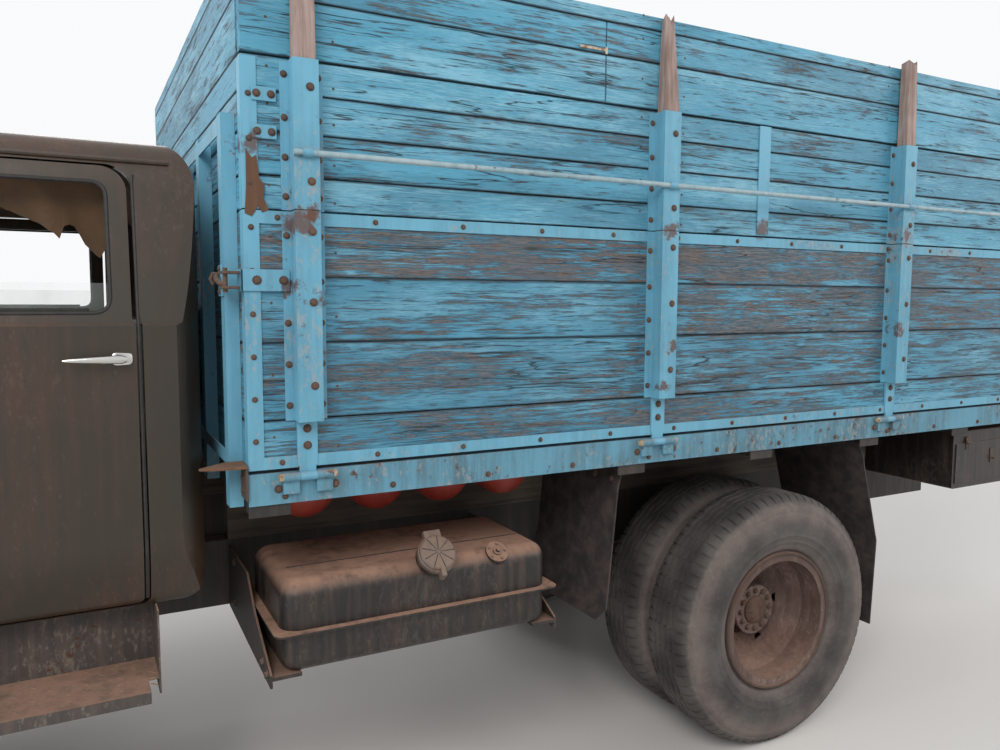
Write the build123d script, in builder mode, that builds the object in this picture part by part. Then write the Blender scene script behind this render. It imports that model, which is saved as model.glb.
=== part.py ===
from build123d import *
import os
from math import atan2, cos, degrees, radians, sin

# Bonneted cargo truck with a wooden drop-side body on a ladder frame.
# Millimetres. +X points forward, +Y to the truck's left, +Z up.
# The origin is on the ground, under the middle of the whole truck's box.

os.makedirs("parts", exist_ok=True)

# Clearances
seat_gap = 0.3            # between curved or soft pieces that rest on each other
running_fit = 0.05        # radial room of a pin in its hole
panel_gap = 6             # round doors, bonnet and other panels that open

# Axles and wheels
wheelbase = 3800
front_overhang = 1075     # front axle to the bumper's face
tyre_radius = 535
tyre_width = 275
rim_flange_radius = 292
rim_seat_radius = 262
rim_width = 216
rim_wall = 9
front_tyre_y = 900        # truck's middle to the middle of a front tyre
outer_tyre_y = 1085       # truck's middle to the middle of an outer rear tyre
dual_spacing = 310
king_pin_y = 770
king_pin_radius = 20
spindle_radius = 36
rear_spindle_radius = 48
hub_flange_radius = 107

# Frame
rail_outer_y = 430
rail_flange = 80
rail_wall = 8
rail_top_z = 965
rail_height = 250

# Wooden body
board_lead = 2148         # rear axle to the boards' front edge
post_pitch = 1305.7
post_margin = 170         # board end to the first post's middle
post_count = 4
post_web_y = 1250         # truck's middle to the posts' outer faces
hat_depth = 58
hat_width = 73
hat_flange = 25
hat_wall = 4
board_thickness = 40
board_bottom_z = 1376
board_joint_z = 2120      # between the lower board and its extension
board_joint_gap = 4
hat_foot_z = 1516
hat_top_z = 2537
extension_top_z = 2545
top_planks_z = 2870
stake_top_z = 2904
hinge_z = 1350
hinge_out = 12            # board face to the hinge pin's axis
hinge_barrel_radius = 13
hinge_pin_radius = 8
hinge_strap_width = 60
hinge_length = 148
rod_radius = 7
rod_z = 2278
sill_top_z = 1364
sill_height = 94
sill_wall = 6
sill_leg = 60
sill_in = 2               # board face to the sill's face
deck_thickness = 36
deck_gap = 12             # deck edge to the boards' inner faces
cross_bottom_z = 1240
cross_leg = 70
cross_wall = 6

# Cab
cab_back = 2245           # rear axle to the cab's back wall
cab_half_width = 1050
cab_bottom_z = 960
cab_floor_z = 1000
cab_roof_z = 2385
cab_skin = 42
belt_z = 1793
cowl_z = 1600
door_back = 176           # cab's back wall to the door's rear edge
door_width = 745
door_open_z = 975
fender_outer_y = 1170
fender_inner_y = 520
fender_rear_z = 1335
fender_front_z = 1265
fender_skin = 12

# Tank and gas cylinders
tank_length = 940
tank_depth = 480
tank_outer_y = 1150
tank_bottom_z = 722
tank_seam_z = 855
tank_top_z = 1010
tank_flange = 28
cylinder_radius = 109.5
cylinder_length = 1700
cylinder_z = 1220
cylinder_pitch = 260
cylinder_count = 4

# Places along the truck, worked out from the sizes above
board_length = post_pitch * (post_count - 1) + 2 * post_margin
tail_reach = board_length - board_lead + panel_gap + board_thickness + hat_depth + 2 * rod_radius
nose_reach = wheelbase + front_overhang
rear_axle_x = (tail_reach - nose_reach) / 2
front_axle_x = rear_axle_x + wheelbase
bumper_x = front_axle_x + front_overhang
board_front_x = rear_axle_x + board_lead
board_rear_x = board_front_x - board_length
board_mid_x = (board_front_x + board_rear_x) / 2
post_xs = [board_front_x - post_margin - post_pitch * i for i in range(post_count)]
board_face_y = post_web_y - hat_depth
board_inner_y = board_face_y - board_thickness
tail_face_x = board_rear_x - panel_gap - board_thickness
sill_outer_y = board_face_y - sill_in
hinge_y = board_face_y + hinge_out
deck_half_y = board_inner_y - deck_gap
deck_top_z = sill_top_z + deck_thickness
cab_back_x = rear_axle_x + cab_back
door_rear_x = cab_back_x + door_back
door_front_x = door_rear_x + door_width
rail_bottom_z = rail_top_z - rail_height


def block(x0, x1, y0, y1, z0, z1, mode=Mode.ADD):
    with Locations(((x0 + x1) / 2, (y0 + y1) / 2, (z0 + z1) / 2)):
        Box(x1 - x0, y1 - y0, z1 - z0, mode=mode)


def rod_along(axis, start, end, across, up, radius, mode=Mode.ADD):
    # A round bar along X, Y or Z from start to end; across and up are its other two places.
    middle = (start + end) / 2
    place = {"X": (middle, across, up), "Y": (across, middle, up), "Z": (across, up, middle)}[axis]
    turn = {"X": (0, 90, 0), "Y": (90, 0, 0), "Z": (0, 0, 0)}[axis]
    with Locations(Location(place, turn)):
        Cylinder(radius, abs(end - start), mode=mode)


def pulled_in(table, inset):
    # Moves every edge inwards. Convex corners lose the inset from their radius and concave ones gain it.
    points = [Vector(first, second) for first, second, radius in table]
    area = sum(p.X * q.Y - q.X * p.Y for p, q in zip(points, points[1:] + points[:1]))
    turn = 1 if area > 0 else -1
    rows = []
    for i, (first, second, radius) in enumerate(table):
        before = (points[i] - points[i - 1]).normalized()
        after = (points[(i + 1) % len(points)] - points[i]).normalized()
        inward = Vector(-before.Y - after.Y, before.X + after.X) * turn
        share = inset / (1 + before.dot(after))
        convex = (before.X * after.Y - before.Y * after.X) * turn > 0
        rounding = max(radius - inset, 0) if convex else (radius + inset if radius else 0)
        rows.append((first + inward.X * share, second + inward.Y * share, rounding))
    return rows


def outline(plane, table, inset=0.0):
    # A closed profile from rows of (first, second, corner radius), drawn on a plane and pulled in by inset.
    rows = pulled_in(table, inset)
    with BuildSketch(plane) as profile:
        with BuildLine():
            FilletPolyline(*[row[:2] for row in rows], radius=[row[2] for row in rows], close=True)
        make_face()
    return profile.sketch


def three_view(side, front, plan, inset=0.0):
    # What the side, front and plan outlines have in common, pulled in by inset.
    reach = 4000
    with BuildPart() as body:
        extrude(outline(Plane.YZ, front, inset), amount=reach, both=True)
        extrude(outline(Plane.XY, plan, inset), amount=reach, both=True, mode=Mode.INTERSECT)
        extrude(outline(Plane.XZ, side, inset), amount=reach, both=True, mode=Mode.INTERSECT)
    return body.part


def both_sides(half):
    # The other half of an outline given for +Y only, in rows of (y, z, corner radius).
    return half + [(-y, z, radius) for y, z, radius in reversed(half) if y > 0]


def save(builder, label):
    builder.part.label = label
    export_step(builder.part, f"parts/{label}.step")


def mirrored(part):
    with BuildPart() as other:
        add(mirror(part, about=Plane.XZ, mode=Mode.PRIVATE))
    return other


# Frame rails: two channels that open inwards, cut back at the nose
with BuildPart() as frame_rails:
    rail_front_x = bumper_x - 90
    rail_rear_x = board_rear_x + 90
    with BuildSketch(Plane.YZ.offset(rail_rear_x)):
        with BuildLine():
            Polyline(
                (rail_outer_y, rail_bottom_z),
                (rail_outer_y, rail_top_z),
                (rail_outer_y - rail_flange, rail_top_z),
                (rail_outer_y - rail_flange, rail_top_z - rail_wall),
                (rail_outer_y - rail_wall, rail_top_z - rail_wall),
                (rail_outer_y - rail_wall, rail_bottom_z + rail_wall),
                (rail_outer_y - rail_flange, rail_bottom_z + rail_wall),
                (rail_outer_y - rail_flange, rail_bottom_z),
                close=True,
            )
        make_face()
    extrude(amount=rail_front_x - rail_rear_x)
    mirror(about=Plane.XZ)
save(frame_rails, "frame_rails")

# Cross members between the rails, channels on their webs
frame_cross_height = 140
frame_cross_depth = 70
frame_cross_xs = [
    rail_front_x - 150,
    cab_back_x + 260,
    board_front_x - 300,
    rear_axle_x + 620,
    rear_axle_x - 620,
    rail_rear_x + 40,
]
with BuildPart() as frame_crossmembers:
    for x in frame_cross_xs:
        z1 = rail_top_z - rail_wall - seat_gap
        z0 = z1 - frame_cross_height
        inner_y = rail_outer_y - rail_wall
        block(x - frame_cross_depth / 2, x + frame_cross_depth / 2, -inner_y, inner_y, z0, z1)
        block(
            x - frame_cross_depth / 2 + rail_wall,
            x + frame_cross_depth,
            -inner_y,
            inner_y,
            z0 + rail_wall,
            z1 - rail_wall,
            mode=Mode.SUBTRACT,
        )
save(frame_crossmembers, "frame_crossmembers")

# Front bumper: a bent channel with its ends swept back, and two towing eyes on top
bumper_half = 1140
bumper_bottom_z = 590
bumper_height = 190
bumper_flat_half = 800
bumper_sweep = 130        # how far its ends reach back
bumper_depth = 22
tow_eye_radius = 22
tow_eye_thickness = 30
tow_eye_x = bumper_x - 55
with BuildPart() as front_bumper:
    with BuildSketch(Plane.XY.offset(bumper_bottom_z)):
        with BuildLine():
            Polyline(
                (bumper_x, -bumper_flat_half), (bumper_x - bumper_sweep, -bumper_half),
                (bumper_x - bumper_sweep - 10, -bumper_half), (bumper_x - bumper_depth, -bumper_flat_half),
                (bumper_x - bumper_depth, bumper_flat_half), (bumper_x - bumper_sweep - 10, bumper_half),
                (bumper_x - bumper_sweep, bumper_half), (bumper_x, bumper_flat_half), close=True,
            )
        make_face()
    extrude(amount=bumper_height)
    for side in (-1, 1):
        y0, y1 = sorted((side * (rail_outer_y - rail_flange), side * rail_outer_y))
        block(rail_front_x, bumper_x - 20, y0, y1, rail_bottom_z, bumper_bottom_z + bumper_height)
        block(
            rail_front_x, tow_eye_x, y0, y1,
            bumper_bottom_z + bumper_height, bumper_bottom_z + bumper_height + tow_eye_thickness,
        )
        with Locations((tow_eye_x, (y0 + y1) / 2, bumper_bottom_z + bumper_height + tow_eye_thickness / 2)):
            Cylinder(rail_flange / 2, tow_eye_thickness)
        hole_z = bumper_bottom_z + bumper_height + tow_eye_thickness / 2
        with Locations((tow_eye_x, (y0 + y1) / 2, hole_z)):
            Cylinder(tow_eye_radius, tow_eye_thickness, mode=Mode.SUBTRACT)
        block(
            tow_eye_x - tow_eye_radius - 4, tow_eye_x + tow_eye_radius + 4, y0 + 10, y1 - 10,
            bumper_bottom_z + 60, bumper_bottom_z + bumper_height, mode=Mode.SUBTRACT,
        )
save(front_bumper, "front_bumper")

# Rear towing eye on the last cross member
rear_eye_radius = 32
rear_eye_outer = 66
rear_eye_thickness = 38
rear_eye_x = board_rear_x - 20
rear_eye_z = rail_top_z - rail_wall - frame_cross_height / 2
tow_plate_wall = 14
tow_plate_half = 90
tow_plate_rise = 62
with BuildPart() as tow_coupling:
    plate_x = rail_rear_x + 40 - frame_cross_depth / 2
    block(
        plate_x - tow_plate_wall, plate_x, -tow_plate_half, tow_plate_half,
        rear_eye_z - tow_plate_rise, rear_eye_z + tow_plate_rise,
    )
    rod_along("X", rear_eye_x + rear_eye_outer - 12, plate_x - 10, 0, rear_eye_z, 26)
    with Locations((rear_eye_x, 0, rear_eye_z)):
        Cylinder(rear_eye_outer, rear_eye_thickness)
        Cylinder(rear_eye_radius, rear_eye_thickness, mode=Mode.SUBTRACT)
save(tow_coupling, "tow_coupling")

# Leaf springs: tapered arcs with an eye at each end, hung under the rails or beside them
front_axle_top_z = 540
# rows: axle x, middle y, half length, seat z, end z, thickness in the middle
spring_rows = [
    (front_axle_x, rail_outer_y - 40, 640, front_axle_top_z, 678, 72),
    (rear_axle_x, rail_outer_y + 62, 700, tyre_radius + 62, 700, 110),
]
spring_width = 75
spring_end = 14
with BuildPart() as leaf_springs:
    for axle_x, mid_y, half, seat_z, end_z, thick in spring_rows:
        low = seat_z + seat_gap
        for side in (-1, 1):
            with BuildSketch(Plane.XZ.offset(-(side * mid_y + spring_width / 2))):
                with BuildLine():
                    ThreePointArc((axle_x - half, end_z), (axle_x, low), (axle_x + half, end_z))
                    Line((axle_x + half, end_z), (axle_x + half, end_z + spring_end))
                    ThreePointArc(
                        (axle_x + half, end_z + spring_end), (axle_x, low + thick),
                        (axle_x - half, end_z + spring_end),
                    )
                    Line((axle_x - half, end_z + spring_end), (axle_x - half, end_z))
                make_face()
            extrude(amount=spring_width)
            y0 = side * mid_y - spring_width / 2
            y1 = side * mid_y + spring_width / 2
            for end in (-1, 1):
                eye_x = axle_x + end * half
                rod_along("Y", y0, y1, eye_x, end_z + spring_end / 2, 26)
                if mid_y < rail_outer_y:
                    block(eye_x - 30, eye_x + 30, y0 + 5, y1 - 5, end_z + spring_end, rail_bottom_z)
                else:
                    edge = side * rail_outer_y
                    b0, b1 = sorted((edge, side * (mid_y + spring_width / 2)))
                    block(eye_x - 40, eye_x + 40, b0, b1, end_z + spring_end / 2, rail_bottom_z + 90)
save(leaf_springs, "leaf_springs")

# Front axle: a dropped beam with a king pin boss at each end
beam_depth = 90
boss_radius = 46
boss_half = 55
with BuildPart() as front_axle:
    with BuildSketch(Plane.YZ.offset(front_axle_x - beam_depth / 2)):
        with BuildLine():
            low_z = front_axle_top_z - 100
            rise = [
                (560, front_axle_top_z - 90), (king_pin_y - 80, tyre_radius - 45),
                (king_pin_y, tyre_radius - 45),
            ]
            top = [(king_pin_y, tyre_radius + 45), (600, front_axle_top_z), (0, front_axle_top_z)]
            half = [(0, low_z), (520, low_z)] + rise + top
            other = [(-y, z) for y, z in reversed(half) if y > 0]
            Polyline(*half, *other, close=True)
        make_face()
    extrude(amount=beam_depth)
    for side in (-1, 1):
        with Locations((front_axle_x, side * king_pin_y, tyre_radius)):
            Cylinder(boss_radius, 2 * boss_half)
            Cylinder(king_pin_radius + running_fit, 2 * boss_half, mode=Mode.SUBTRACT)
save(front_axle, "front_axle")

# Steering knuckle: two ears on the king pin, the spindle and the steering arm
ear_thickness = 22
ear_gap = 1
arm_back = 150
arm_half = 24
arm_z = tyre_radius - boss_half - ear_gap - ear_thickness / 2
ball_radius = 14
spindle_end_y = front_tyre_y + 60


def knuckle_part():
    with BuildPart() as knuckle:
        ear_low = boss_half + ear_gap
        with Locations((front_axle_x, king_pin_y, tyre_radius)):
            Cylinder(king_pin_radius, 2 * (ear_low + ear_thickness))
        for up in (-1, 1):
            z_mid = tyre_radius + up * (ear_low + ear_thickness / 2)
            with Locations((front_axle_x, king_pin_y, z_mid)):
                Cylinder(40, ear_thickness)
            block(
                front_axle_x - 40, front_axle_x + 40, king_pin_y, king_pin_y + 76,
                z_mid - ear_thickness / 2, z_mid + ear_thickness / 2,
            )
        block(
            front_axle_x - 40, front_axle_x + 40, king_pin_y + boss_radius + 6, king_pin_y + 76,
            tyre_radius - ear_low - ear_thickness, tyre_radius + ear_low + ear_thickness,
        )
        rod_along("Y", king_pin_y + 70, spindle_end_y, front_axle_x, tyre_radius, spindle_radius)
        z0 = arm_z - ear_thickness / 2
        z1 = arm_z + ear_thickness / 2
        with BuildSketch(Plane.XY.offset(z0)):
            with BuildLine():
                Polyline(
                    (front_axle_x, king_pin_y - arm_half), (front_axle_x, king_pin_y + arm_half),
                    (front_axle_x - arm_back, king_pin_y + arm_half),
                    (front_axle_x - arm_back, king_pin_y - arm_half),
                    close=True,
                )
            make_face()
        extrude(amount=z1 - z0)
        with Locations((front_axle_x - arm_back, king_pin_y, arm_z)):
            Cylinder(26, ear_thickness)
            Cylinder(ball_radius + running_fit, ear_thickness, mode=Mode.SUBTRACT)
    return knuckle


left_knuckle = knuckle_part()
save(left_knuckle, "left_knuckle")
right_knuckle = mirrored(left_knuckle.part)
save(right_knuckle, "right_knuckle")

# Track rod behind the axle: a pin turns in each arm, and the arms stay parallel
track_rod_drop = 42
track_rod_radius = 16
right_pin_room = 0.3
with BuildPart() as track_rod:
    rod_z_mid = arm_z - ear_thickness / 2 - track_rod_drop / 2 - 3
    rod_y = king_pin_y
    rod_along("Y", -rod_y, rod_y, front_axle_x - arm_back, rod_z_mid, track_rod_radius)
    for side, pin_radius in ((1, ball_radius), (-1, ball_radius - right_pin_room)):
        with Locations((front_axle_x - arm_back, side * rod_y, rod_z_mid)):
            Cylinder(22, 36)
        rod_along(
            "Z", rod_z_mid, arm_z + ear_thickness / 2, front_axle_x - arm_back, side * rod_y, pin_radius,
        )
save(track_rod, "track_rod")

# Rear axle: banjo housing with a bell at each end
banjo_radius = 190
axle_tube_radius = 62
rear_hub_inner_y = outer_tyre_y - dual_spacing - 40
rear_spindle_end_y = outer_tyre_y - 60
with BuildPart() as rear_axle:
    with BuildSketch(Plane.XY.offset(tyre_radius)):
        with BuildLine():
            Polyline((rear_axle_x, -rear_hub_inner_y), (rear_axle_x + axle_tube_radius, -rear_hub_inner_y))
            Line((rear_axle_x + axle_tube_radius, -rear_hub_inner_y), (rear_axle_x + axle_tube_radius, -300))
            ThreePointArc(
                (rear_axle_x + axle_tube_radius, -300), (rear_axle_x + banjo_radius, 0),
                (rear_axle_x + axle_tube_radius, 300),
            )
            Line((rear_axle_x + axle_tube_radius, 300), (rear_axle_x + axle_tube_radius, rear_hub_inner_y))
            Line((rear_axle_x + axle_tube_radius, rear_hub_inner_y), (rear_axle_x, rear_hub_inner_y))
            Line((rear_axle_x, rear_hub_inner_y), (rear_axle_x, -rear_hub_inner_y))
        make_face()
    revolve(axis=Axis((rear_axle_x, 0, tyre_radius), (0, 1, 0)))
    rod_along("X", rear_axle_x + 120, rear_axle_x + 330, 0, tyre_radius + 20, 90)
    for side in (-1, 1):
        start = side * (rear_hub_inner_y - 20)
        rod_along("Y", start, side * rear_spindle_end_y, rear_axle_x, tyre_radius, rear_spindle_radius)
        seat_top = spring_rows[1][3]
        y_mid = side * spring_rows[1][1]
        block(
            rear_axle_x - 60, rear_axle_x + 60, y_mid - 45, y_mid + 45,
            tyre_radius, seat_top,
        )
save(rear_axle, "rear_axle")


def tyre_profile(y_mid):
    # Half section in rows of (radius, distance from the tyre's middle)
    bead = rim_width / 2 - rim_wall - 4
    half = tyre_width / 2
    right = [
        (rim_seat_radius + seat_gap, bead), (rim_flange_radius + 3, bead), (rim_flange_radius + 12, bead + 16),
        (345, half - 10), (405, half), (462, half - 8), (506, half - 22), (528, half - 40),
        (tyre_radius, half - 66),
    ]
    left = [(radius, -y) for radius, y in reversed(right)]
    return [(radius, y_mid + y) for radius, y in right + left]


def tyre(axle_x, y_mid):
    with BuildSketch(Plane.XY.offset(tyre_radius)) as section:
        with BuildLine():
            Polyline(*[(axle_x + radius, y) for radius, y in tyre_profile(y_mid)], close=True)
        make_face()
    revolve(section.sketch, axis=Axis((axle_x, 0, tyre_radius), (0, 1, 0)))


def rim_section(y_mid, disc_y, disc_radius, outward):
    # One wheel: barrel with a flange at each edge and a dished disc down to disc_radius.
    edge = rim_width / 2
    inner = rim_seat_radius - rim_wall
    barrel = [
        (rim_flange_radius, y_mid + edge), (rim_flange_radius, y_mid + edge - rim_wall),
        (rim_seat_radius, y_mid + edge - rim_wall), (rim_seat_radius, y_mid - edge + rim_wall),
        (rim_flange_radius, y_mid - edge + rim_wall), (rim_flange_radius, y_mid - edge),
        (inner, y_mid - edge), (inner, y_mid + edge),
    ]
    root = y_mid + outward * 20
    disc = [
        (inner + 2, root), (inner + 2, root + 24), (210, disc_y + 13 + (root - disc_y) * 0.45),
        (disc_radius + 30, disc_y + 14), (disc_radius, disc_y + 14),
        (disc_radius, disc_y), (disc_radius + 30, disc_y), (210, disc_y + (root - disc_y) * 0.45),
    ]
    return [barrel, disc]


def revolve_sections(axle_x, sections):
    for section in sections:
        with BuildSketch(Plane.XY.offset(tyre_radius)) as shape:
            with BuildLine():
                Polyline(*[(axle_x + radius, y) for radius, y in section], close=True)
            make_face()
        revolve(shape.sketch, axis=Axis((axle_x, 0, tyre_radius), (0, 1, 0)))


hand_hole_radius = 28
hand_hole_ring = 208
hand_hole_count = 6


def front_wheel_part():
    bore = spindle_radius + running_fit
    face_y = front_tyre_y + 62
    hub = [
        (bore, front_tyre_y - 48), (bore, spindle_end_y + 4), (0, spindle_end_y + 4),
        (0, face_y + 60), (52, face_y + 60), (62, face_y + 46), (62, face_y + 14), (hub_flange_radius, face_y + 14),
        (hub_flange_radius, face_y), (90, face_y), (90, front_tyre_y - 20), (190, front_tyre_y - 20),
        (190, front_tyre_y - 48),
    ]
    with BuildPart() as wheel:
        sections = rim_section(front_tyre_y, face_y - 14, hub_flange_radius - 20, 1)
        revolve_sections(front_axle_x, [hub] + sections)
        with Locations(Location((front_axle_x, face_y - 20, tyre_radius), (90, 0, 0))):
            with PolarLocations(hand_hole_ring, hand_hole_count):
                Cylinder(hand_hole_radius, 90, mode=Mode.SUBTRACT)
    return wheel


def rear_wheels_part():
    bore = rear_spindle_radius + running_fit
    mid_y = outer_tyre_y - dual_spacing / 2
    end_y = outer_tyre_y - 30
    hub = [
        (bore, rear_hub_inner_y + 6), (bore, rear_spindle_end_y + 4), (0, rear_spindle_end_y + 4),
        (0, end_y), (hub_flange_radius, end_y), (hub_flange_radius, end_y - 18), (84, end_y - 18),
        (84, mid_y + 15), (140, mid_y + 15), (140, mid_y - 15), (100, mid_y - 15),
        (100, rear_hub_inner_y + 80), (190, rear_hub_inner_y + 80), (190, rear_hub_inner_y + 6),
    ]
    outer = rim_section(outer_tyre_y, mid_y + 1, 110, -1)
    inner = rim_section(outer_tyre_y - dual_spacing, mid_y - 15, 110, 1)
    with BuildPart() as wheels:
        revolve_sections(rear_axle_x, [hub] + outer + inner)
        with Locations(Location((rear_axle_x, mid_y, tyre_radius), (90, 0, 0))):
            with PolarLocations(hand_hole_ring, hand_hole_count):
                Cylinder(hand_hole_radius, 120, mode=Mode.SUBTRACT)
    return wheels


with BuildPart() as front_left_tyre:
    tyre(front_axle_x, front_tyre_y)
save(front_left_tyre, "front_left_tyre")
front_right_tyre = mirrored(front_left_tyre.part)
save(front_right_tyre, "front_right_tyre")

front_left_rim = front_wheel_part()
save(front_left_rim, "front_left_rim")
front_right_rim = mirrored(front_left_rim.part)
save(front_right_rim, "front_right_rim")

with BuildPart() as rear_left_tyres:
    tyre(rear_axle_x, outer_tyre_y)
    tyre(rear_axle_x, outer_tyre_y - dual_spacing)
save(rear_left_tyres, "rear_left_tyres")
rear_right_tyres = mirrored(rear_left_tyres.part)
save(rear_right_tyres, "rear_right_tyres")

rear_left_rims = rear_wheels_part()
save(rear_left_rims, "rear_left_rims")
rear_right_rims = mirrored(rear_left_rims.part)
save(rear_right_rims, "rear_right_rims")

# Engine and gearbox: one plain block at its real place and size
engine_front_x = front_axle_x + 640
engine_rear_x = cab_back_x + 1310
engine_half = 300
engine_bottom_z = 620
engine_top_z = 1190
engine_chamfer = 60
gearbox_rear_x = engine_rear_x - 480
gearbox_front_x = engine_rear_x + 5
gearbox_half = 160
shaft_front_z = 740
with BuildPart() as engine:
    block(engine_rear_x, engine_front_x, -engine_half, engine_half, engine_bottom_z, engine_top_z)
    chamfer(engine.edges().filter_by(Axis.X), length=engine_chamfer)
    with BuildSketch(Plane.XZ.offset(-gearbox_half)):
        with BuildLine():
            Polyline(
                (gearbox_rear_x, shaft_front_z - 80), (gearbox_front_x, engine_bottom_z + 10),
                (gearbox_front_x, engine_bottom_z + 310), (gearbox_rear_x, shaft_front_z + 80), close=True,
            )
        make_face()
    extrude(amount=2 * gearbox_half)
    for x in (engine_rear_x + 200, engine_front_x - 200):
        block(x - 40, x + 40, -rail_outer_y + 20, rail_outer_y - 20, rail_top_z, rail_top_z + 30)
save(engine, "engine")

# Radiator core behind the grille
radiator_x = engine_front_x + 60
radiator_depth = 90
radiator_half = 320
radiator_top_z = 1200
radiator_foot = 16
with BuildPart() as radiator:
    radiator_front_x = radiator_x + radiator_depth
    block(radiator_x, radiator_front_x, -radiator_half, radiator_half, rail_bottom_z + 20, radiator_top_z)
    block(
        radiator_x, radiator_front_x, -rail_outer_y + 20, rail_outer_y - 20, rail_top_z, rail_top_z + radiator_foot,
    )
save(radiator, "radiator")

# Propeller shaft from the gearbox to the rear axle
with BuildPart() as propeller_shaft:
    shaft_front = Vector(gearbox_rear_x - seat_gap, 0, shaft_front_z)
    shaft_rear = Vector(rear_axle_x + 330 + seat_gap, 0, tyre_radius + 20)
    shaft_line = shaft_front - shaft_rear
    shaft_tilt = degrees(atan2(shaft_line.Z, shaft_line.X))
    with Locations(Location(tuple((shaft_front + shaft_rear) * 0.5), (0, 90 - shaft_tilt, 0))):
        Cylinder(40, shaft_line.length - 150)
        Cylinder(26, shaft_line.length - 60)
    rod_along("X", shaft_front.X - 45, shaft_front.X, 0, shaft_front.Z, 62)
    rod_along("X", shaft_rear.X, shaft_rear.X + 45, 0, shaft_rear.Z, 62)
save(propeller_shaft, "propeller_shaft")

# Exhaust: pipe from the engine, silencer and tail pipe under the right side
silencer_y = -590
silencer_z = 625
silencer_xs = (1000, 1700)
exhaust_radius = 30
down_pipe_x = silencer_xs[1] + 80
down_pipe_y = -225
silencer_hanger_xs = (1100, 1600)
silencer_hanger_half = 15
with BuildPart() as exhaust:
    rod_along("X", silencer_xs[0], silencer_xs[1], silencer_y, silencer_z, 85)
    rod_along("X", silencer_xs[0] - 480, silencer_xs[0], silencer_y, silencer_z, exhaust_radius)
    rod_along("X", silencer_xs[1], down_pipe_x, silencer_y, silencer_z, exhaust_radius)
    rod_along("Y", silencer_y, down_pipe_y, down_pipe_x, silencer_z, exhaust_radius)
    rod_along("X", down_pipe_x, engine_rear_x - seat_gap, down_pipe_y, silencer_z, exhaust_radius)
    with Locations((down_pipe_x, silencer_y, silencer_z), (down_pipe_x, down_pipe_y, silencer_z)):
        Sphere(exhaust_radius)
    for x in silencer_hanger_xs:
        x0, x1 = x - silencer_hanger_half, x + silencer_hanger_half
        block(x0, x1, silencer_y - 4, silencer_y + 4, silencer_z + 80, rail_bottom_z + 60)
        block(x0, x1, silencer_y - 4, -rail_outer_y, rail_bottom_z + 40, rail_bottom_z + 60)
save(exhaust, "exhaust")

# Fuel tank: two pressed halves with a seam flange, filler neck, cap and level sender
tank_front_x = rear_axle_x + 2050
tank_mid_x = tank_front_x - tank_length / 2
tank_mid_y = tank_outer_y - tank_depth / 2
filler_x = rear_axle_x + 1553
sender_x = rear_axle_x + 1310
neck_tilt = 48
with BuildPart() as fuel_tank:
    with BuildSketch(Plane.XY.offset(tank_bottom_z)):
        with Locations((tank_mid_x, tank_mid_y)):
            RectangleRounded(tank_length, tank_depth, 60)
    extrude(amount=tank_seam_z - tank_bottom_z)
    fillet(fuel_tank.faces().sort_by(Axis.Z)[0].edges(), radius=38)
    with BuildSketch(Plane.XY.offset(tank_seam_z)):
        with Locations((tank_mid_x, tank_mid_y)):
            RectangleRounded(tank_length, tank_depth, 60)
    extrude(amount=tank_top_z - tank_seam_z)
    fillet(fuel_tank.faces().sort_by(Axis.Z)[-1].edges(), radius=55)
    with BuildSketch(Plane.XY.offset(tank_seam_z - 3)):
        with Locations((tank_mid_x, tank_mid_y)):
            RectangleRounded(tank_length + 2 * tank_flange, tank_depth + 2 * tank_flange, 30)
    extrude(amount=6)
    tilt_y = sin(radians(neck_tilt))
    tilt_z = cos(radians(neck_tilt))
    neck_y = tank_outer_y - 45
    neck_z = tank_top_z - 30
    with Locations(Location((filler_x, neck_y + 20 * tilt_y, neck_z + 20 * tilt_z), (-neck_tilt, 0, 0))):
        Cylinder(46, 90)
    with Locations(Location((filler_x, neck_y + 70 * tilt_y, neck_z + 70 * tilt_z), (-neck_tilt, 0, 0))):
        Cylinder(63, 26)
    with Locations(Location((sender_x, tank_outer_y - 28, tank_top_z - 20), (-42, 0, 0))):
        Cylinder(40, 40)
save(fuel_tank, "fuel_tank")

# Tank brackets: a gusset plate outside each end of the tank with a ledge under it
bracket_wall = 7
with BuildPart() as tank_brackets:
    for end in (-1, 1):
        plate_x = tank_mid_x + end * (tank_length / 2 + tank_flange + 4)
        x0, x1 = sorted((plate_x, plate_x + end * bracket_wall))
        with BuildSketch(Plane.YZ.offset(x0)):
            with BuildLine():
                Polyline(
                    (rail_outer_y, rail_top_z - 20), (rail_outer_y, tank_bottom_z - 12),
                    (tank_outer_y - 10, tank_bottom_z - 34), (tank_outer_y - 10, tank_bottom_z + 6),
                    (tank_mid_y, tank_seam_z - 12), (tank_mid_y - 120, rail_top_z - 20),
                    close=True,
                )
            make_face()
        extrude(amount=x1 - x0)
        ledge_x = plate_x - end * 90
        l0, l1 = sorted((ledge_x, plate_x + end * bracket_wall))
        block(
            l0, l1, rail_outer_y, tank_outer_y - 10,
            tank_bottom_z - 12, tank_bottom_z - seat_gap,
        )
save(tank_brackets, "tank_brackets")

# Gas cylinders across the truck, in saddles of the body's bearers
cylinder_front_x = rear_axle_x + 1882
cylinder_xs = [cylinder_front_x - cylinder_pitch * i for i in range(cylinder_count)]
with BuildPart() as gas_cylinders:
    for x in cylinder_xs:
        rod_along("Y", -cylinder_length / 2, cylinder_length / 2, x, cylinder_z, cylinder_radius)
    fillet(gas_cylinders.edges().filter_by(GeomType.CIRCLE), radius=80)
save(gas_cylinders, "gas_cylinders")

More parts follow.
